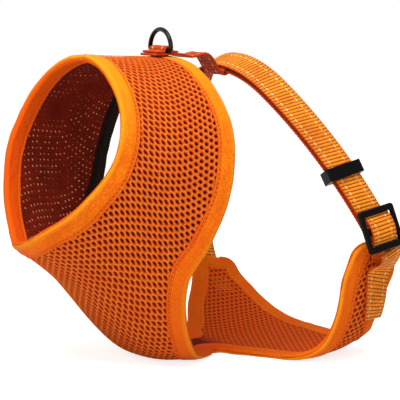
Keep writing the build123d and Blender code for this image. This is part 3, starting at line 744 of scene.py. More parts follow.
def dye_group():
    """Uneven dye: broad patches, and a fine speckle of fibres."""
    if "Uneven dye" in bpy.data.node_groups:
        return bpy.data.node_groups["Uneven dye"]
    tree = bpy.data.node_groups.new("Uneven dye", "ShaderNodeTree")
    for key, way, kind in (("Colour", "INPUT", "Color"), ("Patch colour", "INPUT", "Color"),
                           ("Patches", "INPUT", "Float"), ("Speckle", "INPUT", "Float"),
                           ("Colour", "OUTPUT", "Color"), ("Fibres", "OUTPUT", "Float")):
        tree.interface.new_socket(key, in_out=way, socket_type="NodeSocket" + kind)
    given = tree.nodes.new("NodeGroupInput").outputs
    put = tree.nodes.new("NodeGroupOutput").inputs
    nodes = Nodes(tree)
    patch = nodes.between(nodes.noise(55.0, 3.0, 0.55), 0.38, 0.68)
    fibres = nodes.noise(620.0, 4.0, 0.75)
    colour = nodes.blend(nodes.times(patch, given["Patches"]), given["Colour"],
                         given["Patch colour"])
    spread = nodes.calc("MULTIPLY_ADD", fibres, 2.0, -1.0)
    shade = nodes.grey(nodes.calc("MULTIPLY_ADD", spread, given["Speckle"], 1.0))
    nodes.join(put["Colour"], nodes.blend(1.0, colour, shade, "MULTIPLY"))
    nodes.join(put["Fibres"], fibres)
    return tree


class Paint(Nodes):
    """A material, with the colour that its layers build up."""

    def __init__(self, name, rough, gloss):
        self.material = bpy.data.materials.new(name)
        self.material.use_nodes = True
        super().__init__(self.material.node_tree)
        self.give("Roughness", rough)
        self.give("Specular IOR Level", gloss)

    def give(self, key, value):
        self.join(self.tree.nodes["Principled BSDF"].inputs[key], value)

    def dye(self, colour, patch_colour, patches, speckle):
        """Starts with a dyed colour, and gives the unevenness of its fibres."""
        group = self.add("Group", {"Colour": colour, "Patch colour": patch_colour,
                                   "Patches": patches, "Speckle": speckle},
                         node_tree=dye_group())
        self.colour = group["Colour"]
        return group["Fibres"]

    def cover(self, share, colour, strength=1.0):
        """Lays a colour over the share of the surface that is given."""
        if strength != 1.0:
            share = self.times(share, strength)
        self.colour = self.blend(share, self.colour, colour)

    def finish(self, height, strength, depth):
        """Puts the colour in place, and a bump of a depth in metres."""
        self.give("Base Color", self.colour)
        self.give("Normal", self.add("Bump", {"Height": height, "Strength": strength,
                                              "Distance": depth})[0])


def net_material(name, looks):
    """Knitted net: a painted highlight on the ridges between its holes, yarn loops across, and
    painted shade on the walls of its holes.
    """
    paint = Paint(name, rough=0.75, gloss=0.08)
    fibres = paint.dye(looks.mesh_colour, looks.mesh_patch_colour, patches=0.6, speckle=0.45)
    mark, loops = paint.mark("hole"), paint.weave(NET_KNIT)
    # Painted highlight on the ridges between the holes.
    paint.cover(paint.times(paint.between(mark, *RIDGE_MARK),
                            paint.between(fibres, *RIDGE_FIBRES)), looks.mesh_ridge_highlight_colour)
    paint.cover(loops, looks.mesh_patch_colour, 0.45)
    # Painted shade on the walls of the holes.
    paint.cover(paint.between(mark, *HOLE_MARK), looks.mesh_hole_shade_colour)
    paint.finish(paint.total(loops, fibres), strength=0.6, depth=0.00015)


def lining_material(name, looks):
    """Fine net, painted dark as shade for the inside of the chest, with painted specks of light at
    its holes; toward the rear it takes the outer net's colour, partly its own colour and partly
    painted light.
    """
    paint = Paint(name, rough=0.8, gloss=0.08)
    # The lining's colours are painted dark as shade for the inside of the chest.
    fibres = paint.dye(looks.shaded_lining_colour, looks.shaded_lining_patch_colour, patches=0.8, speckle=0.45)
    mark, loops = paint.mark("hole"), paint.weave(LINING_KNIT)
    _, y, z = paint.place()
    paint.cover(loops, looks.shaded_lining_patch_colour, 0.6)
    rear = paint.between(y, *REAR_CLOTH)
    behind = paint.add("NewGeometry")["Backfacing"]
    shown = paint.calc("SUBTRACT", 1.0, paint.calc("MAXIMUM", behind, rear))
    # Painted specks of light where light would shine through the holes, on the front face only and
    # away from the rear.
    pale = paint.times(paint.between(paint.noise(26.0, 2.0), *LIGHT_SPECK_PATCH),
                       paint.between(paint.noise(330.0, 0.0), *LIGHT_SPECK_GRAIN),
                       paint.between(mark, *LIGHT_SPECK_MARK), paint.between(z, *LIGHT_SPECK_HEIGHT), shown)
    # Toward the rear: the outer net's colour, partly the cloth's own and partly painted light, and
    # painted shade in the holes.
    paint.cover(rear, looks.mesh_colour)
    paint.cover(paint.times(paint.between(mark, *REAR_HOLE_MARK), rear), looks.mesh_hole_shade_colour)
    # Lays the painted specks of light.
    paint.cover(pale, looks.lining_light_speck_colour)
    paint.finish(paint.total(loops, fibres), strength=0.6, depth=0.00015)


def tape_material(name, looks):
    """Binding tape: a close weave of fine ribs across; a painted highlight along its fold and high
    up, and painted shade low down, in its seam and edge, and on its inner side.
    """
    paint = Paint(name, rough=0.72, gloss=0.10)
    fibres = paint.dye(looks.tape_colour, looks.tape_patch_and_shade_colour, patches=0.9, speckle=0.75)
    slub, weave = paint.noise(480.0, 2.0), paint.weave(TAPE_WEAVE)
    _, across = paint.cloth_place()
    _, y, height = paint.place()
    paint.cover(paint.between(slub, *TAPE_SLUB), looks.tape_patch_and_shade_colour, 0.6)
    # Painted shade: redder low down. Painted highlight: paler high up.
    paint.cover(paint.between(height, *TAPE_SHADE_HEIGHTS), looks.tape_patch_and_shade_colour, 0.75)
    paint.cover(paint.between(height, *TAPE_HIGHLIGHT_HEIGHTS), looks.tape_crest_and_highlight_colour, 0.7)
    # The weave's crests take some of the highlight colour.
    paint.cover(weave, looks.tape_crest_and_highlight_colour, 0.35)
    # Painted highlight along the fold.
    fold = paint.times(paint.between(across, *FOLD_HIGHLIGHT_FAR), paint.between(across, *FOLD_HIGHLIGHT_NEAR))
    paint.cover(fold, looks.tape_crest_and_highlight_colour, 0.55)
    # Painted shade: the inner side is redder toward the front, inside the chest.
    inside = paint.times(paint.between(across, *TAPE_INNER), paint.between(y, *REAR_CLOTH[::-1]))
    paint.cover(inside, looks.tape_inner_shade_colour, 0.85)
    # Painted shade in the groove of the stitching and in a band at the sewn edge.
    off_seam = paint.calc("ABSOLUTE", paint.calc("SUBTRACT", across, SEAM_AT))
    edge = paint.times(paint.between(across, *TAPE_EDGE_SHADE),
                       paint.calc("LESS_THAN", across, TAPE_EDGE_SHADE_END))
    seam = paint.calc("MAXIMUM", paint.times(paint.between(off_seam, *SEAM_SHADE_SIDE), 0.8), edge)
    paint.cover(seam, looks.tape_seam_shade_colour)
    # Painted shade: near black on the armholes' inner side, by the facing mark.
    paint.cover(paint.mark("facing"), looks.armhole_shade_colour)
    paint.finish(paint.total(weave, slub, fibres), strength=0.9, depth=0.0003)


def webbing_material(name, looks, rib_pitch, ground):
    """Ribbed webbing with two rows of pale tracer dashes and darker gaps between ribs."""
    paint = Paint(name, rough=0.6, gloss=0.12)
    fibres = paint.dye(ground, looks.webbing_gap_colour, patches=0.35, speckle=0.6)
    along, across = paint.cloth_place()
    rib = paint.lines(along, rib_pitch)
    paint.cover(paint.between(rib, *RIB_GAP), looks.webbing_gap_colour, 0.95)
    from_middle = paint.calc("ABSOLUTE", across)
    paint.cover(paint.between(from_middle, *SELVEDGE), looks.selvedge_colour)
    off_row = paint.calc("ABSOLUTE", paint.calc("SUBTRACT", from_middle, TRACER_AT))
    step = paint.calc("FRACT", paint.calc("DIVIDE", along, 2 * rib_pitch))
    off_dash = paint.calc("ABSOLUTE", paint.calc("SUBTRACT", step, 0.5))
    tracer = paint.times(paint.calc("LESS_THAN", off_row, TRACER_HALF),
                         paint.calc("LESS_THAN", off_dash, DASH_HALF))
    paint.cover(tracer, looks.tracer_colour, 0.9)
    weave = paint.times(paint.lines(across, WEBBING_YARN), rib)
    paint.finish(paint.total(weave, paint.times(fibres, 0.6), tracer), strength=0.6, depth=0.0002)


def thread_material(name, looks):
    paint = Paint(name, rough=0.5, gloss=0.15)
    fibres = paint.dye(looks.thread_colour, looks.tape_patch_and_shade_colour, patches=0.3, speckle=0.3)
    paint.finish(fibres, strength=0.5, depth=0.0001)


def hardware_material(name, colour, rough, gloss, coat, grain):
    """Black hardware: a fine moulded or painted grain, duller where it is handled."""
    paint = Paint(name, rough, gloss)
    broad = paint.noise(160.0, 3.0)
    paint.give("Roughness",
               paint.between(broad, *HANDLED, *(rough * share for share in HANDLED_ROUGH)))
    paint.colour = paint.blend(paint.times(broad, 0.5), colour, [2 * c for c in colour[:3]] + [1.0])
    paint.give("Coat Weight", coat)
    paint.give("Coat Roughness", 0.08)
    paint.finish(paint.noise(2600.0, 2.0), strength=grain, depth=0.00005)


def material_of(context, key):
    """The harness's own materials, each made once."""
    looks, rib_pitch = context.scene.harness_colours, context.scene.harness_sizes.rib_pitch
    makers = {
        "outer_net": (net_material, looks),
        "mesh_lining": (lining_material, looks),
        "binding_tape": (tape_material, looks),
        "strap_webbing": (webbing_material, looks, rib_pitch, looks.webbing_colour),
        # A darker, redder copy of the webbing: painted shade for the inner run and the spine.
        "under_webbing": (webbing_material, looks, rib_pitch, looks.shaded_webbing_colour),
        "sewing_thread": (thread_material, looks),
        "ring_paint": (hardware_material, looks.metal_colour, *PAINT_FINISH),
        "moulded_plastic": (hardware_material, looks.plastic_colour, *PLASTIC_FINISH),
    }
    if key not in bpy.data.materials:
        make, *given = makers[key]
        make(key, *given)
    return bpy.data.materials[key]


# --- Sizes and colours that a user would change ---

def amount(name, description, default, **kind):
    """A number that a user can change, a length unless another kind is given."""
    return bpy.props.FloatProperty(name=name, description=description, default=default,
                                   **(kind or {"unit": "LENGTH"}))


def colour(name, description, *screen):
    """A colour given as it looks on a screen, red, green and blue from 0 to 255."""
    shares = [v / 255 for v in screen]
    linear = [v / 12.92 if v <= 0.04045 else ((v + 0.055) / 1.055) ** 2.4 for v in shares]
    return bpy.props.FloatVectorProperty(
        name=name, description=description, subtype="COLOR", size=4, min=0, max=1,
        default=(*linear, 1.0))


class HarnessSizes(bpy.types.PropertyGroup):
    mesh_pitch: amount("Mesh pitch", "Distance between holes along a row of the air mesh", 0.0045)
    mesh_rows: amount("Mesh rows", "Distance between rows of holes", 0.0038)
    hole_length: amount("Hole length", "Length of a hole along its row", 0.0031)
    hole_width: amount("Hole width", "Width of a hole across its row", 0.0022)
    stitch_pitch: amount("Stitch pitch", "Distance between stitches on the bindings", 0.003)
    rib_pitch: amount("Rib pitch", "Distance between the webbing's ribs", 0.0026)


class HarnessColours(bpy.types.PropertyGroup):
    mesh_colour: colour("Mesh", "Outer net", 218, 88, 20)
    mesh_patch_colour: colour("Mesh shade", "Darker yarn of the net", 205, 70, 16)
    # Painted highlight: the colour laid on the ridges between the holes.
    mesh_ridge_highlight_colour: colour("Mesh ridges", "Lit ridges between the holes", 244, 150, 56)
    # Painted shade: the colour laid on the walls of the net's holes.
    mesh_hole_shade_colour: colour("Mesh holes", "Walls of the net's holes", 136, 34, 10)
    # Painted shade: the lining's colours are darkened for the inside of the chest.
    shaded_lining_colour: colour("Lining", "Net next to the coat", 128, 32, 12)
    shaded_lining_patch_colour: colour("Lining shade", "Darker yarn of the lining", 92, 22, 10)
    # Painted light: specks where light shines through the lining's holes.
    lining_light_speck_colour: colour("Lining specks", "Pale yarn at the lining's holes", 255, 214, 160)
    tape_colour: colour("Binding", "Folded tape", 255, 134, 5)
    # Redder yarn of the tape, also laid low down as painted shade.
    tape_patch_and_shade_colour: colour("Binding shade", "Redder yarn of the tape", 238, 92, 8)
    # Painted highlight along the fold and high up; also on the weave's crests.
    tape_crest_and_highlight_colour: colour("Binding fold", "Lit yarn along the fold", 255, 172, 30)
    # Painted shade: near black on the inner side of the armhole binding.
    armhole_shade_colour: colour("Facing", "Dark facing inside the armholes", 20, 5, 4)
    # Painted shade: the inner side's redder colour toward the front.
    tape_inner_shade_colour: colour("Binding inside", "Redder inner side of the tape", 255, 92, 8)
    # Painted shade: the groove of the stitching and the sewn edge.
    tape_seam_shade_colour: colour("Binding seam", "Groove of the stitching", 214, 66, 8)
    webbing_colour: colour("Webbing", "Ribs of the webbing", 255, 158, 40)
    # Painted shade: the darker copy of the webbing's colour for the inner run and the spine.
    shaded_webbing_colour: colour("Under webbing", "Redder under run and spine", 204, 72, 18)
    webbing_gap_colour: colour("Webbing gaps", "Between the ribs", 150, 52, 12)
    selvedge_colour: colour("Selvedge", "Edges of the webbing", 186, 62, 14)
    tracer_colour: colour("Tracer", "Pale dashes of the webbing", 250, 214, 150)
    thread_colour: colour("Thread", "Sewing thread", 248, 140, 40)
    metal_colour: colour("Ring", "Black paint of the ring", 5, 4, 4)
    plastic_colour: colour("Plastic", "Black moulded plastic", 4, 4, 4)


class HarnessStage(bpy.types.PropertyGroup):
    azimuth: amount("Azimuth", "Camera's turn about the harness", math.radians(55.2),
                    subtype="ANGLE")
    elevation: amount("Elevation", "Camera's height as an angle", math.radians(7.4),
                      subtype="ANGLE")
    distance: amount("Distance", "Camera to the harness's middle", 1.2)
    key_light: amount("Overhead light", "Power of the large lamp above", 8.0, unit="POWER")
    room_light: amount("Room light", "Strength of the even light all round", 0.36,
                       subtype="FACTOR", min=0, max=1)


# --- Pieces ---

SIDES = ((1, "left"), (-1, "right"))
WING_CORNER = 11.0          # radius of the wings' corners
CORNER_SHARE = 0.35         # of the corner's cut that the sewn edge follows
ARMHOLE_SHADE_ANGLES = (-50.0, 62.0)       # angles between which the armholes' inner side is painted near black as shade


def build_body_cloth(context):
    sizes = context.scene.harness_sizes
    knit = [size / MM for size in (sizes.mesh_pitch, sizes.mesh_rows, sizes.hole_length / 2,
                                   sizes.hole_width / 2)]
    table = ring_table()
    cells = net_cells(table, *knit[:2])
    piece = net_layer("air_mesh_body", table, cells, knit, OUTER_RINGS, False)
    finish_piece(context, piece, "outer_net", "chest_mesh", "belly_mesh")
    piece = net_layer("mesh_lining_body", table, cells, knit, LINING_RINGS, True)
    finish_piece(context, piece, "mesh_lining", "chest_lining", "belly_lining")


def corner_cut(angle, end):
    """How far a wing's corner cuts into its edge, by the angle from the wing's end."""
    left = np.radians(np.abs(angle - end)) * float(reach(260.0, end))
    left = WING_CORNER - np.minimum(left, WING_CORNER)
    return WING_CORNER - np.sqrt(WING_CORNER**2 - left**2)


def bind_edge(context, name, node, free, sewn, seed, shaded_span=None):
    """Tape folded over an edge of the cloth, with its stitches."""
    pitch = context.scene.harness_sizes.stitch_pitch / MM
    piece, rows = folded_tape(f"{name}_tape", free, sewn, seed, pitch, shaded_span)
    finish_piece(context, piece, "binding_tape", node)
    add_stitching(context, f"{name}_stitches", rows)


def build_bindings(context):
    steps = np.linspace(TOP_START, over_side(-1, TOP_START), 720)
    bind_edge(context, "neck_binding", "neck_binding", (steps, neck_edge(steps)),
              (steps, neck_edge(steps) + tape_span(neck_edge, steps)), 11)
    down = np.linspace(TOP_START, FOOT_ANGLE, 420)
    turns = np.linspace(0, 180, 40)[1:-1]
    for side, word in SIDES:
        up = np.linspace(FOOT_ANGLE, wing_end(side), 240)
        front, cut = belly_front_edge(up), corner_cut(up, wing_end(side))
        free = np.concatenate([[down, armhole_edge(down)], foot(FOOT_RADIUS, turns),
                               [up, front + cut]], 1)
        sewn = np.concatenate([
            [down, armhole_edge(down) - tape_span(armhole_edge, down)],
            foot(FOOT_RADIUS + TAPE_WIDTH, turns),
            [up, front + tape_span(belly_front_edge, up) + CORNER_SHARE * cut]], 1)
        free[0], sewn[0] = over_side(side, free[0]), over_side(side, sewn[0])
        # Each armhole's inner side gets painted shade between the given angles.
        bind_edge(context, f"{word}_armhole", f"{word}_armhole_binding", free, sewn, 20 + side,
                  ARMHOLE_SHADE_ANGLES)
    steps = np.linspace(LEFT_WING_END, over_side(-1, RIGHT_WING_END), 500)
    rear = belly_rear_edge(steps)
    cut = corner_cut(steps, LEFT_WING_END)
    cut += corner_cut(mirrored(steps), RIGHT_WING_END) * (steps < CHEST)
    bind_edge(context, "rear_binding", "belly_rear_binding", (steps, rear - cut),
              (steps, rear - tape_span(belly_rear_edge, steps) - CORNER_SHARE * cut), 31)
    for side, word in SIDES:
        top = wing_end(side)
        ys = np.linspace(belly_front_edge(top) + WING_CORNER,
                         belly_rear_edge(top) - WING_CORNER, 30)
        inward = np.degrees(TAPE_WIDTH / reach(265.0, top))
        free, sewn = ((over_side(side, np.full_like(ys, angle)), ys)
                      for angle in (top, top - inward))
        bind_edge(context, f"{word}_wing_end", f"{word}_wing_end_binding", free, sewn, 40 + side)


SEAM_HALF = 2.4             # from the top seam's middle to its rows of stitches
SEAM_TAPE = dict(rib_pitch=1.3, width=16.0, thick=0.9, steps=4)
SEAM_SINK = 5.0             # of the seam's inner tape below the back
SEAM_STITCH, SLANT_STITCH, SLANT = 3.0, 4.6, 1.5


def build_top_seam(context):
    front = float(neck_edge(TOP) + TAPE_WIDTH)
    back = float(armhole_edge(TOP) - TAPE_WIDTH)
    ys = np.linspace(front - 2, back + 2, 40)
    points = np.stack([0 * ys, ys, smooth(BACK_HEIGHT, ys) - SEAM_SINK], -1)
    across, up = (np.tile(way, (len(ys), 1)) for way in ([-1.0, 0, 0], [0, 0, -1.0]))
    add_webbing(context, "top_seam_inner_tape", "top_seam_tape", "binding_tape", points, across,
                up, **SEAM_TAPE)
    rows = []
    for x in (-SEAM_HALF, SEAM_HALF):
        line = np.stack([0 * ys + x, ys, smooth(BACK_HEIGHT, ys) + 0.35 - x * x / 150], -1)
        rows.append(stitch_row(line, -up, SEAM_STITCH))
    for k, y in enumerate(np.linspace(front, back, int((back - front) / SLANT))[:-1]):
        x = SEAM_HALF if k % 2 else -SEAM_HALF
        line = np.array([(-x, y, 0.0), (x, y + SLANT, 0.0)])
        line[:, 2] = smooth(BACK_HEIGHT, line[:, 1]) + 0.3
        rows.append(stitch_row(line, -up[:2], SLANT_STITCH, length=1.0))
    add_stitching(context, "top_seam_stitches", rows)


def strap_line(lengths, rise):
    points, out = strap_point(strap_turn(lengths), rise)
    return points, np.tile(STRAP_ACROSS, (len(lengths), 1)), out


def build_girth_strap(context):
    runs = np.linspace(-PLUG_RUN, OUTER_LEFT, 300)
    add_webbing(context, "girth_strap_outer_webbing", "girth_strap_outer", "strap_webbing",
                *strap_line(runs, LAYER_RISE), skew=np.interp(runs, [0.0, 70.0], [0.0, 0.27]))
    runs = np.linspace(-PLUG_RUN, INNER_LEFT, 300)
    # The inner run is painted darker as shade.
    add_webbing(context, "girth_strap_inner_webbing", "girth_strap_inner", "under_webbing",
                *strap_line(runs, -LAYER_RISE), start=1.1, steps=6)


SLIDER_LEAN = math.radians(-13.0)
SLIDER_RISE = 3.3           # of the webbing's ends in the slider from the strap's line
SLIDER_HUMP = [(-10.0, 0.55), (-8.2, 1.4), (-6.2, 2.9), (-3.2, 3.95), (0.0, 4.2), (3.2, 3.95),
               (6.2, 2.9), (8.2, 1.4), (10.0, 0.55)]


def slider_axes():
    """Middle, down, outward and across directions of the slider's place on the strap."""
    points, out = strap_point(strap_turn(SLIDER_RUN + np.array([0.0, 0.1])))
    down = unit(points[1] - points[0])
    across = np.cross(out[0], down)
    c, s = math.cos(SLIDER_LEAN), math.sin(SLIDER_LEAN)
    return points[0], down * c + across * s, out[0], across * c - down * s


def build_slider_webbing(context):
    here, down, out, across = slider_axes()
    line = bent_line([here + down * x + out * (SLIDER_RISE + z) for x, z in SLIDER_HUMP], 60)
    wide = np.tile(across, (len(line), 1))
    up = unit(np.cross(unit(np.gradient(line, axis=0)), wide))
    add_webbing(context, "slider_webbing_hump", "slider_webbing", "strap_webbing", line, wide,
                up, body="strap_slider")


# For each side, where the webbing leaves the strap, its place along the body on the wing, and the
# angles at which it lands and ends there.
WING_RUNS = {"left": (OUTER_LEFT + 0.4, 261.5, -24.0, -38.0),
             "right": (SOCKET_RUN, 246.0, -30.0, -56.0)}
BOX_FROM_END = 7.0          # degrees from the webbing's end to its box's middle
BOX_LONG, BOX_WIDE = 9.0, 7.0
BOX_PATHS = ([(-1, -1), (1, -1), (1, 1), (-1, 1), (-1, -1), (1, 1)], [(-1, 1), (1, -1)])
BOX_STITCH, SPINE_STITCH = 2.6, 2.4
THICK_THREAD = 0.33         # radius of the thread on webbing
PATCH_ROWS = 9              # of stitches inside the wing, behind the box
PATCH_WAVE, PATCH_RATE = 0.8, 2.2


def build_wing_webbing(context):
    for side, word in SIDES:
        run, wing_y, landing, end = WING_RUNS[word]
        start, out = strap_point(strap_turn(side * np.array([run, run - 0.5])), LAYER_RISE)
        turned = over_side(side, np.linspace(landing, end, 16))
        wing, wing_out = skin_and_out(wing_y, turned, -(SEAT + WEBBING_THICK / 2))
        along_y = unit(skin(wing_y + 1, turned) - skin(wing_y - 1, turned))
        t = np.linspace(0, 1, 24)[:-1, None]
        gap = np.linalg.norm(wing[0] - start[0])
        bridge = hermite(t, start[0], unit(start[0] - start[1]) * gap, wing[0],
                         unit(wing[1] - wing[0]) * gap)
        ease = 3 * t**2 - 2 * t**3
        line = np.concatenate([bridge, wing])
        across = np.concatenate([STRAP_ACROSS * (1 - ease) + along_y[0] * ease, along_y])
        outward = np.concatenate([out[0] * (1 - ease) + wing_out[0] * ease, wing_out])
        add_webbing(context, f"{word}_wing_webbing_end", f"{word}_wing_webbing",
                    "strap_webbing", line, across, outward)
        middle, rows = end + BOX_FROM_END, []

        def sew(s, y, depth, facing):
            """A row of thread on the wing, from places down and across the webbing."""
            angle = middle - np.degrees(s / float(reach(wing_y, middle)))
            row, row_out = skin_and_out(wing_y + y, over_side(side, angle), depth)
            rows.append(stitch_row(row, row_out * facing, BOX_STITCH, radius=THICK_THREAD))

        for path in BOX_PATHS:
            for ends in zip(path[:-1], path[1:]):
                s, y = np.linspace(*(np.array(ends) * (BOX_LONG, BOX_WIDE)), 30).T
                sew(s, y, -(SEAT + WEBBING_THICK + 0.15), 1)
        for y in np.linspace(-BOX_WIDE, BOX_WIDE, PATCH_ROWS):
            s = np.linspace(-BOX_LONG, BOX_LONG, 20)
            sew(s, y + PATCH_WAVE * np.sin(s * PATCH_RATE), LINING_END + 0.25, -1)
        add_stitching(context, f"{word}_wing_box_stitches", rows, f"{word}_wing_stitching")


RING_Y, RING_Z = 146.0, 213.904     # of the ring's bar
BAR_HOLE = 1.6 + 0.25               # the bar's radius and its clearance
LOOP_FOOT = RING_LEVEL + WEBBING_THICK + 0.3 + WEBBING_THICK / 2
LOOP_ENDS = [(-8.2, 0.0), (-4.2, 0.0), (-3.0, 0.4)]
FOLD_WIDE = 10.0 + 1.0 + WEBBING_THICK / 2
FOLD_TALL = WEBBING_THICK / 2 + 0.35 + WEBBING_THICK / 2
FOLD_CORNER = 1.8
LOOP_ROW, LOOP_ROW_HALF = 5.6, 8.5      # of stitches across the ring's loop, from the bar
SPINE_ROW = 7.5             # of stitches along the spine, from its middle


def build_spine(context):
    def lay(name, node, line):
        """Webbing along a line that keeps to the middle, and its upward directions."""
        across = np.tile([1.0, 0, 0], (len(line), 1))
        up = np.cross(across, unit(np.gradient(line, axis=0)))
        # The spine's webbing is painted darker as shade.
        add_webbing(context, name, node, "under_webbing", line, across, up)
        return up

    run = bent_line([(0, y, z) for y, z in SPINE_LINE], 70)
    run_up = lay("spine_webbing_run", "spine_webbing", run)
    hole = BAR_HOLE + WEBBING_THICK / 2
    turns = np.radians(np.linspace(180, 0, 40))[4:-4]
    arc = np.stack([0 * turns, RING_Y + hole * np.cos(turns), RING_Z + hole * np.sin(turns)], -1)
    before = [(0, RING_Y + y, LOOP_FOOT + z) for y, z in LOOP_ENDS]
    after = [(0, RING_Y - y, LOOP_FOOT + z) for y, z in LOOP_ENDS[::-1]]
    lay("ring_loop_webbing", "ring_loop", bent_line(np.concatenate([before, arc, after]), 90))
    turns = np.radians(np.linspace(-90, 90, 14))
    half = np.stack([FOLD_WIDE - FOLD_CORNER + FOLD_CORNER * np.cos(turns),
                     FOLD_TALL * np.sin(turns)], -1)
    loop = np.concatenate([[(0.0, -FOLD_TALL)], half, [(0.0, FOLD_TALL)], half[::-1] * (-1, 1)])
    # The spine's loop is painted darker as shade.
    add_wrapped_webbing(context, "spine_loop_webbing", "spine_loop", "under_webbing", loop)
    rows = []
    for y in (RING_Y - LOOP_ROW, RING_Y + LOOP_ROW):
        xs = np.linspace(-LOOP_ROW_HALF, LOOP_ROW_HALF, 20)
        row = np.stack([xs, 0 * xs + y, 0 * xs + LOOP_FOOT + 0.9], -1)
        up = np.tile([0, 0, 1.0], (20, 1))
        rows.append(stitch_row(row, up, SPINE_STITCH, radius=THICK_THREAD))
    for x in (-SPINE_ROW, SPINE_ROW):
        row = run[8:-6] + [x, 0, 0] + run_up[8:-6] * 0.87
        rows.append(stitch_row(row, run_up[8:-6], SPINE_STITCH, radius=THICK_THREAD))
    add_stitching(context, "spine_stitches", rows)


def dress_hardware(context):
    for node in ("leash_ring", "strap_keeper", "strap_slider", "buckle_socket", "buckle_plug",
                 "front_prong", "rear_prong"):
        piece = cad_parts[node]
        piece.data.materials.clear()
        piece.data.materials.append(
            material_of(context, "ring_paint" if node == "leash_ring" else "moulded_plastic"))


CAMERA_TARGET = Vector((0.01038, 0.01513, 0.1095))
CAMERA_ROLL = math.radians(0.3)
CAMERA_LENS = 154.44
FLOOR_HALF, FLOOR_LINES = 2.0, 24
PAPER_SHADES = (0.80, 0.84)
PAPER_GLOW = 0.78
ROOM_COLOUR = (1.0, 0.84, 0.72, 1)
LAMP_TARGET = Vector((0, 0, 0.1))
# Place, share of the overhead lamp's power, size and colour.
LAMPS = {"overhead_lamp": ((0.25, -0.35, 0.95), 1.0, 0.6, (1.0, 0.97, 0.88)),
         "front_lamp": ((1.0, -0.9, 0.45), 0.55, 0.8, (1.0, 1.0, 1.0))}


def stage_object(context, name, data):
    piece = bpy.data.objects.new(name, data)
    context.scene.collection.objects.link(piece)
    return piece


def build_camera(context):
    stage = context.scene.harness_stage
    az, el = stage.azimuth, stage.elevation
    back = Vector((math.sin(az) * math.cos(el), -math.cos(az) * math.cos(el), math.sin(el)))
    right = Vector((math.cos(az), math.sin(az), 0.0))
    right = right * math.cos(CAMERA_ROLL) + back.cross(right) * math.sin(CAMERA_ROLL)
    data = bpy.data.cameras.new("harness_camera")
    data.lens, data.sensor_width, data.sensor_fit = CAMERA_LENS, 36.0, "HORIZONTAL"
    data.clip_start, data.clip_end = 0.05, 20.0
    camera = stage_object(context, "harness_camera", data)
    place = Matrix((right, back.cross(right), back)).transposed().to_4x4()
    place.translation = CAMERA_TARGET + back * stage.distance
    camera.matrix_world = place
    context.scene.camera = camera


def build_stage(context):
    stage = context.scene.harness_stage
    build_camera(context)
    mesh = bpy.data.meshes.new("stage_floor")
    xs = np.linspace(-FLOOR_HALF, FLOOR_HALF, FLOOR_LINES)
    grid = np.stack(np.meshgrid(xs, xs, [0.0], indexing="ij"), -1).reshape(-1, 3)
    mesh.from_pydata(grid.tolist(), [],
                     grid_faces(FLOOR_LINES, FLOOR_LINES, flip=True)[0].tolist())
    stage_object(context, "stage_floor", mesh)
    paper = Paint("stage_paper", rough=0.9, gloss=0.0)
    shade = paper.add("TexNoise", {"Scale": 3.0})["Fac"]
    paper.give("Base Color", paper.grey(paper.between(shade, 0.0, 1.0, *PAPER_SHADES)))
    paper.give("Emission Color", paper.grey(paper.times(paper.seen(), PAPER_GLOW)))
    paper.give("Emission Strength", 1.0)
    mesh.materials.append(paper.material)

    world = bpy.data.worlds.new("stage_room")
    context.scene.world = world
    world.use_nodes = True
    room = Nodes(world.node_tree)
    room.tree.nodes.clear()
    around = room.add("Background", {"Color": ROOM_COLOUR, "Strength": stage.room_light})[0]
    white = room.add("Background", {"Color": (1, 1, 1, 1), "Strength": 1.0})[0]
    mix = room.add("MixShader", {0: room.seen(), 1: around, 2: white})[0]
    room.add("OutputWorld", {"Surface": mix})

    for name, (place, share, size, tint) in LAMPS.items():
        light = bpy.data.lights.new(name, "AREA")
        light.energy, light.size, light.color = stage.key_light * share, size, tint
        lamp = stage_object(context, name, light)
        lamp.location = place
        lamp.rotation_euler = (LAMP_TARGET - Vector(place)).to_track_quat("-Z", "Y").to_euler()
    context.scene.view_settings.view_transform = "Standard"


# --- Operators, panel and registration ---

class HARNESS_OT_body_cloth(bpy.types.Operator):
    """Make the air mesh body and its lining"""
    bl_idname = "harness.body_cloth"
    bl_label = "Body cloth"

    def execute(self, context):
        build_body_cloth(context)
        return {"FINISHED"}


class HARNESS_OT_bindings(bpy.types.Operator):
    """Fold the binding tape over every edge and stitch it"""
    bl_idname = "harness.bindings"
    bl_label = "Bindings"

    def execute(self, context):
        build_bindings(context)
        return {"FINISHED"}


class HARNESS_OT_top_seam(bpy.types.Operator):
    """Sew the seam along the back, with its tape inside"""
    bl_idname = "harness.top_seam"
    bl_label = "Top seam"

    def execute(self, context):
        build_top_seam(context)
        return {"FINISHED"}


class HARNESS_OT_girth_strap(bpy.types.Operator):
    """Lay the two runs of the girth strap over the back"""
    bl_idname = "harness.girth_strap"
    bl_label = "Girth strap"

    def execute(self, context):
        build_girth_strap(context)
        build_slider_webbing(context)
        return {"FINISHED"}


class HARNESS_OT_wing_webbing(bpy.types.Operator):
    """Sew the webbing ends to the wings"""
    bl_idname = "harness.wing_webbing"
    bl_label = "Wing webbing"

    def execute(self, context):
        build_wing_webbing(context)
        return {"FINISHED"}


class HARNESS_OT_spine(bpy.types.Operator):
    """Make the spine webbing, its loop and the ring's loop"""
    bl_idname = "harness.spine"
    bl_label = "Spine webbing"

    def execute(self, context):
        build_spine(context)
        return {"FINISHED"}


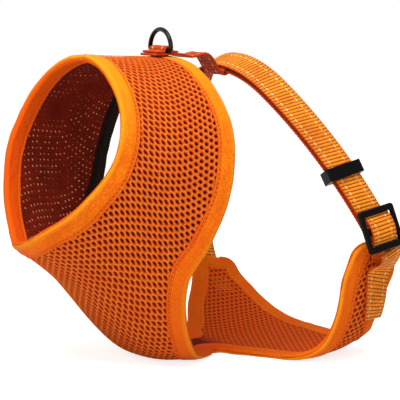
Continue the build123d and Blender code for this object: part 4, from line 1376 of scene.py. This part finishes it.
class HARNESS_OT_hardware(bpy.types.Operator):
    """Finish the ring, keeper, slider and buckle"""
    bl_idname = "harness.hardware"
    bl_label = "Hardware"

    def execute(self, context):
        dress_hardware(context)
        return {"FINISHED"}


class HARNESS_OT_stage(bpy.types.Operator):
    """Set up the floor, room, lamps and camera"""
    bl_idname = "harness.stage"
    bl_label = "Stage"

    def execute(self, context):
        build_stage(context)
        return {"FINISHED"}


STEPS = (HARNESS_OT_body_cloth, HARNESS_OT_bindings, HARNESS_OT_top_seam,
         HARNESS_OT_girth_strap, HARNESS_OT_wing_webbing, HARNESS_OT_spine,
         HARNESS_OT_hardware, HARNESS_OT_stage)


class HARNESS_PT_panel(bpy.types.Panel):
    """Steps, sizes and colours of the harness"""
    bl_idname = "HARNESS_PT_panel"
    bl_label = "Harness"
    bl_space_type = "VIEW_3D"
    bl_region_type = "UI"
    bl_category = "Harness"

    def draw(self, context):
        for step in STEPS:
            self.layout.operator(step.bl_idname)
        for group in (context.scene.harness_sizes, context.scene.harness_colours,
                      context.scene.harness_stage):
            for key in group.bl_rna.properties.keys():
                if key not in ("rna_type", "name"):
                    self.layout.prop(group, key)


CLASSES = (HarnessSizes, HarnessColours, HarnessStage, *STEPS, HARNESS_PT_panel)


def register():
    for each in CLASSES:
        bpy.utils.register_class(each)
    bpy.types.Scene.harness_sizes = bpy.props.PointerProperty(type=HarnessSizes)
    bpy.types.Scene.harness_colours = bpy.props.PointerProperty(type=HarnessColours)
    bpy.types.Scene.harness_stage = bpy.props.PointerProperty(type=HarnessStage)


def unregister():
    del bpy.types.Scene.harness_stage
    del bpy.types.Scene.harness_colours
    del bpy.types.Scene.harness_sizes
    for each in reversed(CLASSES):
        bpy.utils.unregister_class(each)


def main():
    register()
    bpy.ops.harness.body_cloth()
    bpy.ops.harness.bindings()
    bpy.ops.harness.top_seam()
    bpy.ops.harness.girth_strap()
    bpy.ops.harness.wing_webbing()
    bpy.ops.harness.spine()
    bpy.ops.harness.hardware()
    bpy.ops.harness.stage()


if __name__ == "__main__":
    main()
